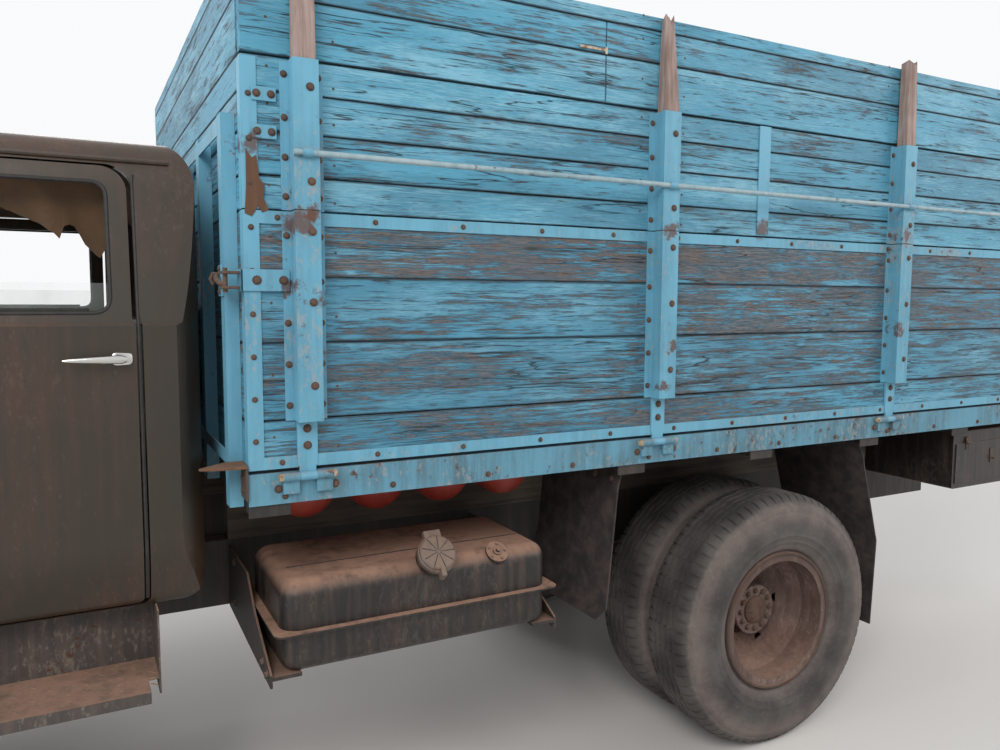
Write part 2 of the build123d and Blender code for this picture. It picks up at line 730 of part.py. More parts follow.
# Body bearers: timber beams on the rails, with a saddle for each gas cylinder
bearer_width = 80
with BuildPart() as body_bearers:
    for side in (-1, 1):
        y0, y1 = sorted((side * (rail_outer_y - bearer_width), side * rail_outer_y))
        block(board_rear_x + 60, board_front_x - 60, y0, y1, rail_top_z, cross_bottom_z)
        for x in cylinder_xs:
            rod_along("Y", y0 - 1, y1 + 1, x, cylinder_z, cylinder_radius + seat_gap, mode=Mode.SUBTRACT)
save(body_bearers, "body_bearers")

# Sills: angles along the sides and a channel across the rear, with the outer hinge barrels and their pins
sill_bottom_z = sill_top_z - sill_height
rear_sill_x = tail_face_x + sill_in
tail_hinge_x = tail_face_x - hinge_out
tail_post_ys = [-840, 0, 840]
barrel_third = hinge_length / 3
hinge_pin_half = hinge_length / 2 + 6
strap_room = 1
with BuildPart() as body_sills:
    with BuildSketch(Plane.YZ.offset(board_rear_x)):
        with BuildLine():
            Polyline(
                (sill_outer_y, sill_bottom_z), (sill_outer_y, sill_top_z), (sill_outer_y - sill_leg, sill_top_z),
                (sill_outer_y - sill_leg, sill_top_z - sill_wall), (sill_outer_y - sill_wall, sill_top_z - sill_wall),
                (sill_outer_y - sill_wall, sill_bottom_z), close=True,
            )
        make_face()
    extrude(amount=board_length)
    for x in post_xs:
        for end in (-1, 1):
            near = x + end * (barrel_third / 2 + strap_room)
            far = x + end * hinge_length / 2
            rod_along("X", near, far, hinge_y, hinge_z, hinge_barrel_radius)
            b0, b1 = sorted((near, far))
            block(b0, b1, sill_outer_y, hinge_y, hinge_z - 50, hinge_z)
        rod_along("X", x - hinge_pin_half, x + hinge_pin_half, hinge_y, hinge_z, hinge_pin_radius)
    mirror(about=Plane.XZ)
    rear_half = sill_outer_y - sill_leg - sill_wall
    block(rear_sill_x, rear_sill_x + sill_wall, -rear_half, rear_half, sill_bottom_z, sill_top_z)
    block(rear_sill_x, board_rear_x + 40, -rear_half, rear_half, sill_top_z - sill_wall, sill_top_z)
    block(
        rear_sill_x + sill_wall, board_rear_x + 40, -rear_half, rear_half,
        sill_bottom_z, sill_bottom_z + sill_wall,
    )
    for y in tail_post_ys:
        for end in (-1, 1):
            near = y + end * (barrel_third / 2 + strap_room)
            far = y + end * hinge_length / 2
            rod_along("Y", near, far, tail_hinge_x, hinge_z, hinge_barrel_radius)
            b0, b1 = sorted((near, far))
            block(tail_hinge_x, rear_sill_x, b0, b1, hinge_z - 50, hinge_z)
        rod_along("Y", y - hinge_pin_half, y + hinge_pin_half, tail_hinge_x, hinge_z, hinge_pin_radius)
save(body_sills, "body_sills")

# Body cross members: channels under the deck from sill to sill, with an end plate that shows below each sill
cross_shift = 104         # hinge to the cross member ahead of it
end_plate_width = 120
cross_top_z = sill_top_z - sill_wall
cross_xs = [board_front_x - 40]
cross_xs += [x + cross_shift for x in post_xs[1:]]
cross_xs += [(post_xs[1] + post_xs[2]) / 2 + cross_shift, (post_xs[2] + post_xs[3]) / 2 + cross_shift]
with BuildPart() as body_crossmembers:
    for x in cross_xs:
        inner_y = sill_outer_y - sill_wall
        with BuildSketch(Plane.XZ.offset(-inner_y)):
            with BuildLine():
                Polyline(
                    (x + cross_leg / 2, cross_bottom_z), (x + cross_leg / 2, cross_top_z),
                    (x - cross_leg / 2, cross_top_z), (x - cross_leg / 2, cross_top_z - cross_wall),
                    (x + cross_leg / 2 - cross_wall, cross_top_z - cross_wall),
                    (x + cross_leg / 2 - cross_wall, cross_bottom_z + cross_wall),
                    (x - cross_leg / 2, cross_bottom_z + cross_wall), (x - cross_leg / 2, cross_bottom_z),
                    close=True,
                )
            make_face()
        extrude(amount=2 * inner_y)
        plate_mid = min(x, board_front_x - end_plate_width / 2)
        for side in (-1, 1):
            p0, p1 = sorted((side * inner_y, side * (inner_y - 8)))
            block(
                plate_mid - end_plate_width / 2, plate_mid + end_plate_width / 2, p0, p1,
                cross_bottom_z - 6, sill_bottom_z + 30,
            )
save(body_crossmembers, "body_crossmembers")

# Deck boards
front_wall_x = board_front_x - board_thickness
plank_groove = 5
deck_plank = 200
with BuildPart() as deck:
    deck_rear_x = board_rear_x - panel_gap + deck_gap
    block(deck_rear_x, front_wall_x, -deck_half_y, deck_half_y, sill_top_z, deck_top_z)
    for i in range(1, int(2 * deck_half_y / deck_plank) + 1):
        y = -deck_half_y + i * deck_plank
        block(
            deck_rear_x, front_wall_x, y - plank_groove / 2, y + plank_groove / 2,
            deck_top_z - plank_groove, deck_top_z, mode=Mode.SUBTRACT,
        )
save(deck, "deck")

# Plank joints, from the lowest up, as seen on the side boards
lower_joints = [1518, 1743, 1933]
upper_joints = [2218, 2340, 2450]
top_joints = [2710, 2822]
groove_depth = 4


def grooved_panel(half_length, y0, y1, z0, z1, joints):
    block(-half_length, half_length, y0, y1, z0, z1)
    for z in joints:
        for edge in (y0 + groove_depth / 2, y1 - groove_depth / 2):
            block(
                -half_length, half_length, edge - groove_depth / 2, edge + groove_depth / 2,
                z - plank_groove / 2, z + plank_groove / 2, mode=Mode.SUBTRACT,
            )


def board_planks(length, posts):
    # Local frame: X along the board, Y outwards from the planks' outer face.
    half = length / 2 - hat_wall
    with BuildPart() as planks:
        grooved_panel(half, -board_thickness, 0, board_bottom_z + hat_wall, board_joint_z - 2, lower_joints)
        grooved_panel(
            half, -board_thickness, 0, board_joint_z - 2 + board_joint_gap, extension_top_z, upper_joints,
        )
        lift = 0.5
        grooved_panel(
            half, lift - board_thickness, lift, extension_top_z + board_joint_gap, top_planks_z, top_joints,
        )
        for x in posts:
            stake_half = hat_width / 2 - hat_wall - 1.5
            stake_face = hat_depth - hat_wall - seat_gap
            block(x - stake_half, x + stake_half, lift, stake_face, board_joint_z + 40, stake_top_z)
            block(
                x - stake_half, x + stake_half, hat_wall + seat_gap, stake_face, board_joint_z - 250, stake_top_z,
            )
    return planks.part


def hat(x, z0, z1):
    half = hat_width / 2
    with BuildSketch(Plane.XY.offset(z0)) as section:
        with BuildLine():
            Polyline(
                (x - half - hat_flange, 0), (x - half - hat_flange, hat_wall), (x - half, hat_wall),
                (x - half, hat_depth), (x + half, hat_depth), (x + half, hat_wall),
                (x + half + hat_flange, hat_wall), (x + half + hat_flange, 0), (x + half - hat_wall, 0),
                (x + half - hat_wall, hat_depth - hat_wall), (x - half + hat_wall, hat_depth - hat_wall),
                (x - half + hat_wall, 0), close=True,
            )
        make_face()
    extrude(section.sketch, amount=z1 - z0)


def board_ironwork(length, posts, batten_xs):
    # Local frame as for the planks: posts, trims, hinge straps, the rod and flat battens.
    half = length / 2
    strap_wall = 8
    trim_height = 36
    with BuildPart() as iron:
        lower_top = board_joint_z - 2
        block(-half, half, 0, hat_wall, board_bottom_z, board_bottom_z + trim_height)
        block(-half, half, -board_thickness, hat_wall, board_bottom_z, board_bottom_z + hat_wall)
        block(-half, half, 0, hat_wall, lower_top - trim_height, lower_top)
        for end in (-1, 1):
            e0, e1 = sorted((end * half, end * (half - 45)))
            block(e0, e1, 0, hat_wall, board_bottom_z, lower_top)
            c0, c1 = sorted((end * half, end * (half - hat_wall)))
            block(c0, c1, -board_thickness, hat_wall, board_bottom_z, lower_top)
            block(e0, e1, 0, hat_wall, lower_top + board_joint_gap, hat_top_z)
            block(c0, c1, -board_thickness, hat_wall, lower_top + board_joint_gap, hat_top_z)
        for x in posts:
            hat(x, hat_foot_z, lower_top)
            hat(x, lower_top + board_joint_gap, hat_top_z)
            s0 = x - hinge_strap_width / 2
            s1 = x + hinge_strap_width / 2
            block(s0, s1, 0, strap_wall, hinge_z + 30, hat_foot_z + 40)
            m0 = x - barrel_third / 2
            m1 = x + barrel_third / 2
            block(m0, m1, 0, strap_wall, hinge_z, hinge_z + 30)
            rod_along("X", m0, m1, hinge_out, hinge_z, hinge_barrel_radius)
            rod_along("X", m0, m1, hinge_out, hinge_z, hinge_pin_radius + running_fit, mode=Mode.SUBTRACT)
        rod_along("X", min(posts) - 36, max(posts) + 36, hat_depth + rod_radius - 1, rod_z, rod_radius + 1)
        for x in batten_xs:
            block(x - 29, x + 29, 0, hat_wall, lower_top + 14, extension_top_z)
    return iron.part


side_posts = [x - board_mid_x for x in post_xs]
side_place = Location((board_mid_x, board_face_y, 0))
batten_x = rear_axle_x + 170 - board_mid_x
with BuildPart() as left_board_planks:
    add(board_planks(board_length, side_posts).moved(side_place))
save(left_board_planks, "left_board_planks")
with BuildPart() as left_board_ironwork:
    add(board_ironwork(board_length, side_posts, [batten_x]).moved(side_place))
save(left_board_ironwork, "left_board_ironwork")
right_board_planks = mirrored(left_board_planks.part)
save(right_board_planks, "right_board_planks")
right_board_ironwork = mirrored(left_board_ironwork.part)
save(right_board_ironwork, "right_board_ironwork")

tail_length = 2 * (board_inner_y + board_thickness)
tail_place = Location((tail_face_x, 0, 0), (0, 0, 90))
with BuildPart() as tailboard_planks:
    add(board_planks(tail_length, tail_post_ys).moved(tail_place))
save(tailboard_planks, "tailboard_planks")
with BuildPart() as tailboard_ironwork:
    add(board_ironwork(tail_length, tail_post_ys, []).moved(tail_place))
save(tailboard_ironwork, "tailboard_ironwork")

# Front wall between the side boards, with stakes on its front face
front_half_y = board_inner_y - panel_gap
stake_width = 60
stake_depth = 40
front_stake_ys = [-1080, -640, -215, 215, 640, 1080]
front_stake_foot_z = 1255
front_stake_top_z = 2395
front_tie_zs = (1400, 2360)
front_tie_half = 20
with BuildPart() as front_wall_planks:
    block(front_wall_x, board_front_x, -front_half_y, front_half_y, sill_top_z, top_planks_z)
    for z in lower_joints + [board_joint_z] + upper_joints + [extension_top_z] + top_joints:
        for edge in (front_wall_x + groove_depth / 2, board_front_x - groove_depth / 2):
            block(
                edge - groove_depth / 2, edge + groove_depth / 2, -front_half_y, front_half_y,
                z - plank_groove / 2, z + plank_groove / 2, mode=Mode.SUBTRACT,
            )
save(front_wall_planks, "front_wall_planks")

with BuildPart() as front_wall_ironwork:
    for y in front_stake_ys:
        stake_front_x = board_front_x + stake_depth
        block(
            board_front_x, stake_front_x, y - stake_width / 2, y + stake_width / 2,
            front_stake_foot_z, front_stake_top_z,
        )
        block(
            board_front_x, stake_front_x - hat_wall, y - stake_width / 2 + hat_wall,
            y + stake_width / 2 - hat_wall, front_stake_foot_z, front_stake_top_z, mode=Mode.SUBTRACT,
        )
    for z in front_tie_zs:
        block(
            stake_front_x - hat_wall, stake_front_x, front_stake_ys[0], front_stake_ys[-1],
            z - front_tie_half, z + front_tie_half,
        )
save(front_wall_ironwork, "front_wall_ironwork")

# Mudflaps ahead of and behind the rear wheels: bent sheets hung from cross members
flap_outer_y = 1150
flap_inner_y = 620
flap_wall = 6
# rows of (x from the rear axle, z)
front_flap = [(790, cross_bottom_z - seat_gap), (808, 1180), (853, 720), (900, 690)]
rear_flap = [(-505, cross_bottom_z - seat_gap), (-536, 1192), (-657, 775), (-638, 385)]
with BuildPart() as mudflaps:
    for path in (front_flap, rear_flap):
        for y0, y1 in ((flap_inner_y, flap_outer_y), (-flap_outer_y, -flap_inner_y)):
            near = [(rear_axle_x + dx, z) for dx, z in path]
            far = [(x + flap_wall, z) for x, z in reversed(near)]
            with BuildSketch(Plane.XZ.offset(-y1)):
                with BuildLine():
                    Polyline(*near, *far, close=True)
                make_face()
            extrude(amount=y1 - y0)
save(mudflaps, "mudflaps")

# Tool box under the body's left rear corner
tool_box_front_x = rear_axle_x - 1190
tool_box_rear_x = tool_box_front_x - 620
tool_box_inner_y = 660
tool_box_bottom_z = 960
tool_box_round = 12
tool_lid_edge = 20
tool_lid_wall = 5
tool_lid_top_z = 1180
with BuildPart() as tool_box:
    block(
        tool_box_rear_x, tool_box_front_x, tool_box_inner_y, tank_outer_y,
        tool_box_bottom_z, cross_bottom_z - seat_gap,
    )
    fillet(tool_box.edges().filter_by(Axis.Y), radius=tool_box_round)
    block(
        tool_box_rear_x + tool_lid_edge, tool_box_front_x - tool_lid_edge, tank_outer_y, tank_outer_y + tool_lid_wall,
        tool_box_bottom_z + 25, tool_lid_top_z,
    )
save(tool_box, "tool_box")

# Air tanks on the right rail
air_tank_radius = 118
air_tank_xs = [-60, 640]
air_tank_y = -(rail_outer_y + air_tank_radius + 30)
with BuildPart() as air_tanks:
    for x in air_tank_xs:
        rod_along("X", x - 330, x + 330, air_tank_y, 830, air_tank_radius)
    fillet(air_tanks.edges().filter_by(GeomType.CIRCLE), radius=50)
    for x in air_tank_xs:
        for shift in (-200, 200):
            block(x + shift - 20, x + shift + 20, air_tank_y, -rail_outer_y, 826, 846)
save(air_tanks, "air_tanks")

# Cab outlines in rows with a corner radius: side is (x, z), front is (y, z) for one half, plan is (x, y)
cab_front_x = cab_back_x + 1238
cab_side = [
    (cab_back_x, cab_bottom_z, 90), (cab_back_x, 2335, 150), (cab_back_x + 480, cab_roof_z + 5, 2500),
    (cab_back_x + 935, 2330, 110), (cab_back_x + 1118, 1660, 60), (cab_front_x, cowl_z, 20),
    (cab_front_x, 1120, 40), (cab_back_x + 1040, cab_bottom_z, 80),
]
cab_front = both_sides([
    (600, cab_floor_z, 0), (600, cab_bottom_z, 0), (1006, cab_bottom_z, 40), (cab_half_width, 1120, 300),
    (cab_half_width, belt_z, 0), (cab_half_width - 9, belt_z + 9, 0), (975, 2225, 200), (925, 2325, 110),
    (0, cab_roof_z, 4000),
])
view_spare = 8            # a plan outline passes the faces that another view sets by this much
cab_plan = [
    (cab_back_x - view_spare, -cab_half_width - 10, 125), (cab_back_x - view_spare, cab_half_width + 10, 125),
    (cab_back_x + 960, cab_half_width + 10, 150), (cab_back_x + 1130, 880, 200),
    (cab_front_x + view_spare, 690, 0), (cab_front_x + view_spare, -690, 0),
    (cab_back_x + 1130, -880, 200), (cab_back_x + 960, -cab_half_width - 10, 150),
]
cowl_step_x = door_front_x + 60
cowl_step_z = fender_rear_z + 14
cowl_half_width = fender_inner_y - panel_gap
door_top_z = 2243
door_inner_y = 870        # the door's block starts here, inside its innermost face
door_reach = 400          # and reaches this far out, past the cab's side
door_foot_y = 972         # how far in the door's lower edge reaches
door_seam = 12            # added to the gap behind the door, for its seal
door_hinge_x = door_front_x + panel_gap / 2
door_hinge_y = cab_half_width + 12
door_hinge_zs = (1160, 1640)
leaf_hinge_radius = 10
leaf_hinge_pin = 5
leaf_hinge_height = 84
leaf_hinge_reach = 34
glass_inset = 14
glass_wall = 6
cab_outer = three_view(cab_side, cab_front, cab_plan)
cab_inner = three_view(cab_side, cab_front, cab_plan, cab_skin)
glass_outer = three_view(cab_side, cab_front, cab_plan, glass_inset)
glass_inner = three_view(cab_side, cab_front, cab_plan, glass_inset + glass_wall)


def door_solid(side, gap, seam):
    # A block through one side wall in a door's outline, grown by gap, and by seam more along its rear edge.
    rear_x = door_rear_x - seam
    rows = [
        (rear_x, door_open_z, 18), (rear_x, belt_z, 0), (rear_x + 8, belt_z + 9, 0),
        (rear_x + 8, door_top_z, 70), (door_front_x - 85, door_top_z, 60), (door_front_x, 1800, 60),
        (door_front_x, door_open_z, 18),
    ]
    face = outline(Plane.XZ.offset(-side * door_inner_y), rows, -gap)
    return extrude(face, amount=-side * door_reach, mode=Mode.PRIVATE)


window_low_z = 1827
window_high_z = 2196
window_rear_x = door_rear_x + 60
window_rows = [
    (window_rear_x, window_low_z, 48), (window_rear_x, window_high_z, 42),
    (door_front_x - 128, window_high_z, 30), (door_front_x - 52, window_low_z, 30),
]
screen_low_z = 1672
screen_high_z = 2245
screen_low_half = 800
screen_high_half = 745
rear_glass_low_z = 1850
rear_glass_high_z = 2140
rear_glass_half = 520
screen_round = 70
front_glass_rows = [
    (-screen_low_half, screen_low_z, screen_round), (-screen_high_half, screen_high_z, screen_round),
    (screen_high_half, screen_high_z, screen_round), (screen_low_half, screen_low_z, screen_round),
]
rear_glass_rows = [
    (-rear_glass_half, rear_glass_low_z, screen_round), (-rear_glass_half, rear_glass_high_z, screen_round),
    (rear_glass_half, rear_glass_high_z, screen_round), (rear_glass_half, rear_glass_low_z, screen_round),
]
bonnet_hinge_x = cab_front_x + panel_gap / 2
bonnet_hinge_z = cowl_z + 14
bonnet_hinge_ys = (-150, 150)
with BuildPart() as cab_room:
    add(cab_inner)
    for side in (-1, 1):
        y0, y1 = sorted((side * (cowl_half_width - cab_skin), side * 1200))
        block(
            cowl_step_x - cab_skin, cab_front_x + 50, y0, y1, 900, cowl_step_z + cab_skin,
            mode=Mode.SUBTRACT,
        )

with BuildPart() as cab:
    add(cab_outer)
    for side in (-1, 1):
        y0, y1 = sorted((side * cowl_half_width, side * 1200))
        block(cowl_step_x, cab_front_x + 50, y0, y1, 900, cowl_step_z, mode=Mode.SUBTRACT)
    add(cab_room.part, mode=Mode.SUBTRACT)
    for side in (-1, 1):
        add(door_solid(side, panel_gap, door_seam), mode=Mode.SUBTRACT)
    extrude(outline(Plane.YZ.offset(cab_back_x + 600), front_glass_rows), amount=900, mode=Mode.SUBTRACT)
    extrude(outline(Plane.YZ.offset(cab_back_x - 50), rear_glass_rows), amount=300, mode=Mode.SUBTRACT)
    for x in (cab_back_x + 130, cab_back_x + 880):
        for y in (-rail_outer_y + 40, rail_outer_y - 40):
            block(x - 45, x + 45, y - 35, y + 35, rail_top_z, cab_floor_z)
    third = leaf_hinge_height / 3
    for side in (-1, 1):
        w0, w1 = sorted((side * (cab_half_width - 10), side * door_hinge_y))
        for z in door_hinge_zs:
            for up in (-1, 1):
                z0, z1 = sorted((z + up * (third / 2 + strap_room), z + up * leaf_hinge_height / 2))
                block(door_hinge_x, door_hinge_x + leaf_hinge_reach, w0, w1, z0, z1)
                rod_along("Z", z0, z1, door_hinge_x, side * door_hinge_y, leaf_hinge_radius)
            low, high = z - leaf_hinge_height / 2, z + leaf_hinge_height / 2
            rod_along("Z", low, high, door_hinge_x, side * door_hinge_y, leaf_hinge_pin)
    for y in bonnet_hinge_ys:
        for out in (-1, 1):
            near = y + out * (third / 2 + strap_room)
            far = y + out * leaf_hinge_height / 2
            b0, b1 = sorted((near, far))
            block(cab_front_x - leaf_hinge_reach, bonnet_hinge_x, b0, b1, cowl_z - 30, bonnet_hinge_z)
            rod_along("Y", near, far, bonnet_hinge_x, bonnet_hinge_z, leaf_hinge_radius)
        rod_along(
            "Y", y - leaf_hinge_height / 2, y + leaf_hinge_height / 2, bonnet_hinge_x, bonnet_hinge_z,
            leaf_hinge_pin,
        )
save(cab, "cab")

with BuildPart() as glass_cut:
    extrude(outline(Plane.YZ.offset(cab_back_x + 600), front_glass_rows, seat_gap), amount=900)
    extrude(outline(Plane.YZ.offset(cab_back_x - 50), rear_glass_rows, seat_gap), amount=300)

with BuildPart() as cab_glass:
    add(glass_outer)
    add(glass_inner, mode=Mode.SUBTRACT)
    add(glass_cut.part, mode=Mode.INTERSECT)
save(cab_glass, "cab_glass")

with BuildPart() as left_door:
    add(cab_outer)
    add(cab_inner, mode=Mode.SUBTRACT)
    add(door_solid(1, 0, 0), mode=Mode.INTERSECT)
    extrude(outline(Plane.XZ, window_rows), amount=-1400, mode=Mode.SUBTRACT)
    block(door_rear_x - 50, door_front_x + 50, 0, door_foot_y, 900, belt_z, mode=Mode.SUBTRACT)
    for z in door_hinge_zs:
        z0 = z - leaf_hinge_height / 6
        z1 = z + leaf_hinge_height / 6
        block(door_hinge_x - leaf_hinge_reach, door_hinge_x, cab_half_width - 10, door_hinge_y, z0, z1)
        rod_along("Z", z0, z1, door_hinge_x, door_hinge_y, leaf_hinge_radius)
        rod_along("Z", z0, z1, door_hinge_x, door_hinge_y, leaf_hinge_pin + running_fit, mode=Mode.SUBTRACT)
save(left_door, "left_door")
right_door = mirrored(left_door.part)
save(right_door, "right_door")

# Door window panes, wound down until only their upper edge shows
pane_top_z = 1912
pane_wall = 5
pane_inset = 19
with BuildPart() as left_door_glass:
    add(three_view(cab_side, cab_front, cab_plan, pane_inset))
    add(three_view(cab_side, cab_front, cab_plan, pane_inset + pane_wall), mode=Mode.SUBTRACT)
    pane_side = extrude(outline(Plane.XZ, window_rows, seat_gap), amount=-1400, mode=Mode.PRIVATE)
    add(pane_side, mode=Mode.INTERSECT)
    block(
        door_rear_x - 100, door_front_x + 100, 0, 1200, pane_top_z, 2400, mode=Mode.SUBTRACT,
    )
save(left_door_glass, "left_door_glass")
right_door_glass = mirrored(left_door_glass.part)
save(right_door_glass, "right_door_glass")

# Fenders: rounded shells with an open wheel arch
fender_back_x = cowl_step_x + panel_gap
fender_nose_x = bumper_x - 110
arch_radius = 625
stay_z = fender_front_z - 20
stay_half = 25
fender_foot_z = 700       # lowest point of the outlines; the edge is cut at fender_edge_z
fender_edge_z = 830
fender_shoulder_z = 1130
fender_side = [
    (fender_back_x, 770, 0), (fender_back_x, fender_rear_z, 30), (fender_nose_x - 260, fender_front_z, 200),
    (fender_nose_x, fender_shoulder_z, 120), (fender_nose_x, 800, 40),
]
fender_cross = [
    (fender_inner_y, fender_foot_z, 0), (fender_inner_y, fender_rear_z + 4, 0),
    (fender_outer_y - 60, fender_rear_z + 4, 150), (fender_outer_y, fender_shoulder_z, 60),
    (fender_outer_y, fender_foot_z, 0),
]
fender_plan = [
    (fender_back_x, fender_inner_y, 0), (fender_back_x, fender_outer_y + view_spare, 0),
    (fender_nose_x - 150, fender_outer_y + view_spare, 160),
    (fender_nose_x + view_spare, fender_outer_y - 120, 90), (fender_nose_x + view_spare, fender_inner_y, 0),
]


def fender_part():
    solid = three_view(fender_side, fender_cross, fender_plan)
    hollow = three_view(fender_side, fender_cross, fender_plan, fender_skin)
    with BuildPart() as fender:
        add(solid)
        add(hollow, mode=Mode.SUBTRACT)
        block(
            fender_back_x + fender_skin, fender_nose_x - fender_skin, fender_inner_y - 20,
            fender_outer_y - 70, 700, fender_front_z - 260, mode=Mode.SUBTRACT,
        )
        block(
            fender_back_x + fender_skin, fender_nose_x - fender_skin - 30, fender_inner_y - 20,
            fender_inner_y + 40, 700, fender_front_z - 30, mode=Mode.SUBTRACT,
        )
        rod_along("Y", 400, 1400, front_axle_x, tyre_radius + 30, arch_radius, mode=Mode.SUBTRACT)
        block(
            fender_back_x, fender_nose_x, fender_inner_y - 120, fender_outer_y + 230, fender_foot_z - 100,
            fender_edge_z, mode=Mode.SUBTRACT,
        )
        for x in (cab_front_x + 45, fender_nose_x - 300):
            x0, x1 = x - stay_half, x + stay_half
            block(x0, x1, rail_outer_y - 30, rail_outer_y - 18, rail_top_z, stay_z)
            block(x0, x1, rail_outer_y - 30, fender_inner_y + fender_skin, stay_z - 10, stay_z)
    return fender


left_fender = fender_part()
with BuildPart() as fenders:
    add(left_fender.part)
    mirror(about=Plane.XZ)
save(fenders, "fenders")

# Grille between the fenders: a frame cut out round the rails, and sloping bars across it
grille_x = fender_nose_x - 40
grille_wall = 14
grille_half = fender_inner_y - panel_gap
grille_bottom_z = 830
grille_top_z = fender_front_z - 4
grille_border = 34
grille_strip = 16
grille_neck_y = rail_outer_y - rail_flange - 4
bar_count = 11
bar_height = 10
bar_depth = 30
bar_slope = 8
# rows: inner y, outer y and lower z of the openings in one half
grille_openings = [
    (grille_strip / 2, grille_neck_y - grille_strip, grille_bottom_z + grille_border),
    (grille_neck_y, grille_half - grille_border, rail_top_z + grille_border),
]
with BuildPart() as grille:
    block(grille_x, grille_x + grille_wall, -grille_half, grille_half, grille_bottom_z, grille_top_z)
    opening_top = grille_top_z - grille_border
    for y0, y1, low in grille_openings:
        with BuildSketch(Plane.YZ.offset(grille_x)):
            for side in (-1, 1):
                with Locations((side * (y0 + y1) / 2, (low + opening_top) / 2)):
                    RectangleRounded(y1 - y0, opening_top - low, grille_strip)
        extrude(amount=grille_wall, mode=Mode.SUBTRACT)
    bars_bottom = grille_bottom_z + grille_border
    bar_pitch = (opening_top - bars_bottom) / bar_count
    for bar in range(bar_count):
        z = bars_bottom + (bar + 0.5) * bar_pitch - (bar_height + bar_slope) / 2
        back_x = grille_x + grille_wall - bar_depth
        front_x = grille_x + grille_wall - 1
        clear_of_rails = z > rail_top_z + grille_border - bar_height
        reach = grille_half - grille_border / 2 if clear_of_rails else grille_neck_y - grille_strip / 2
        with BuildSketch(Plane.XZ.offset(-reach)):
            with BuildLine():
                Polyline(
                    (back_x, z + bar_slope), (back_x, z + bar_slope + bar_height),
                    (front_x, z + bar_height), (front_x, z), close=True,
                )
            make_face()
        extrude(amount=2 * reach)
    for side in (-1, 1):
        n0, n1 = sorted((side * grille_neck_y, side * (rail_outer_y + 4)))
        block(
            grille_x, grille_x + grille_wall, n0, n1, grille_bottom_z, rail_top_z + 4, mode=Mode.SUBTRACT,
        )
        y0, y1 = sorted((side * (rail_outer_y - 60), side * (rail_outer_y - 20)))
        block(grille_x - 60, grille_x, y0, y1, rail_top_z, rail_top_z + 60)
save(grille, "grille")

# Bonnet: a crowned shell, open below
bonnet_back_x = cab_front_x + panel_gap
bonnet_nose_x = fender_nose_x - 10
bonnet_skin = 12
bonnet_gap = 8
bonnet_back_half = 640
bonnet_middle_half = 560
bonnet_nose_half = 400
bonnet_nose_z = 1395
bonnet_cross = both_sides([
    (bonnet_back_half + 25, 1200, 0), (bonnet_back_half + 25, 1430, 120), (470, 1560, 160), (0, cowl_z, 1200),
])


def bonnet_shape(opening, inset):
    # The bonnet's solid, reaching further down and back by opening.
    back_x = bonnet_back_x - opening
    side = [
        (back_x, fender_rear_z + bonnet_gap - opening, 0), (back_x, cowl_z - 4, 0),
        (bonnet_nose_x - 330, bonnet_nose_z + 80, 900), (bonnet_nose_x, bonnet_nose_z, 110),
        (bonnet_nose_x, fender_front_z + bonnet_gap - opening, 0),
    ]
    plan = [
        (back_x, -bonnet_back_half, 0), (back_x, bonnet_back_half, 0),
        (bonnet_nose_x - 200, bonnet_middle_half, 200), (bonnet_nose_x + view_spare, bonnet_nose_half, 140),
        (bonnet_nose_x + view_spare, -bonnet_nose_half, 140), (bonnet_nose_x - 200, -bonnet_middle_half, 200),
    ]
    return three_view(side, bonnet_cross, plan, inset)


with BuildPart() as bonnet:
    add(bonnet_shape(0, 0))
    add(bonnet_shape(3 * bonnet_skin, bonnet_skin), mode=Mode.SUBTRACT)
    for y in bonnet_hinge_ys:
        b0 = y - leaf_hinge_height / 6
        b1 = y + leaf_hinge_height / 6
        block(bonnet_hinge_x, bonnet_hinge_x + leaf_hinge_reach, b0, b1, cowl_z - 26, bonnet_hinge_z)
        rod_along("Y", b0, b1, bonnet_hinge_x, bonnet_hinge_z, leaf_hinge_radius)
        rod_along("Y", b0, b1, bonnet_hinge_x, bonnet_hinge_z, leaf_hinge_pin + running_fit, mode=Mode.SUBTRACT)
save(bonnet, "bonnet")

# Lamps: domed headlamps and side lamps on the fenders, tail lamps under the body
lamp_radius = 98
lamp_y = 845
lamp_z = 985
side_lamp_y = lamp_y + 132
tail_lamp_y = 1040
tail_lamp_half = 60
# rows: y, radius of the rim, length of the rim, radius of the lens, height of its dome
round_lamps = [(lamp_y, lamp_radius + 8, 22, lamp_radius - 6, 24), (side_lamp_y, 24, 12, 19, 16)]
with BuildPart() as lamps:
    for side in (-1, 1):
        for y, rim_radius, rim_length, lens_radius, dome in round_lamps:
            back = fender_nose_x + seat_gap
            face = back + rim_length
            ball = (lens_radius**2 + dome**2) / (2 * dome)
            half_way = atan2(lens_radius, ball - dome) / 2
            ball_x = face + dome - ball
            with BuildSketch(Plane.XZ.offset(-side * y)):
                with BuildLine():
                    Polyline(
                        (face + dome, lamp_z), (back, lamp_z), (back, lamp_z + rim_radius),
                        (face - 6, lamp_z + rim_radius), (face, lamp_z + rim_radius - 6),
                        (face, lamp_z + lens_radius),
                    )
                    ThreePointArc(
                        (face, lamp_z + lens_radius),
                        (ball_x + ball * cos(half_way), lamp_z + ball * sin(half_way)),
                        (face + dome, lamp_z),
                    )
                make_face()
            revolve(axis=Axis((0, side * y, lamp_z), (1, 0, 0)))
        block(
            board_rear_x + 30, board_rear_x + 90, side * tail_lamp_y - tail_lamp_half,
            side * tail_lamp_y + tail_lamp_half, sill_bottom_z - 90, sill_bottom_z - seat_gap,
        )
save(lamps, "lamps")

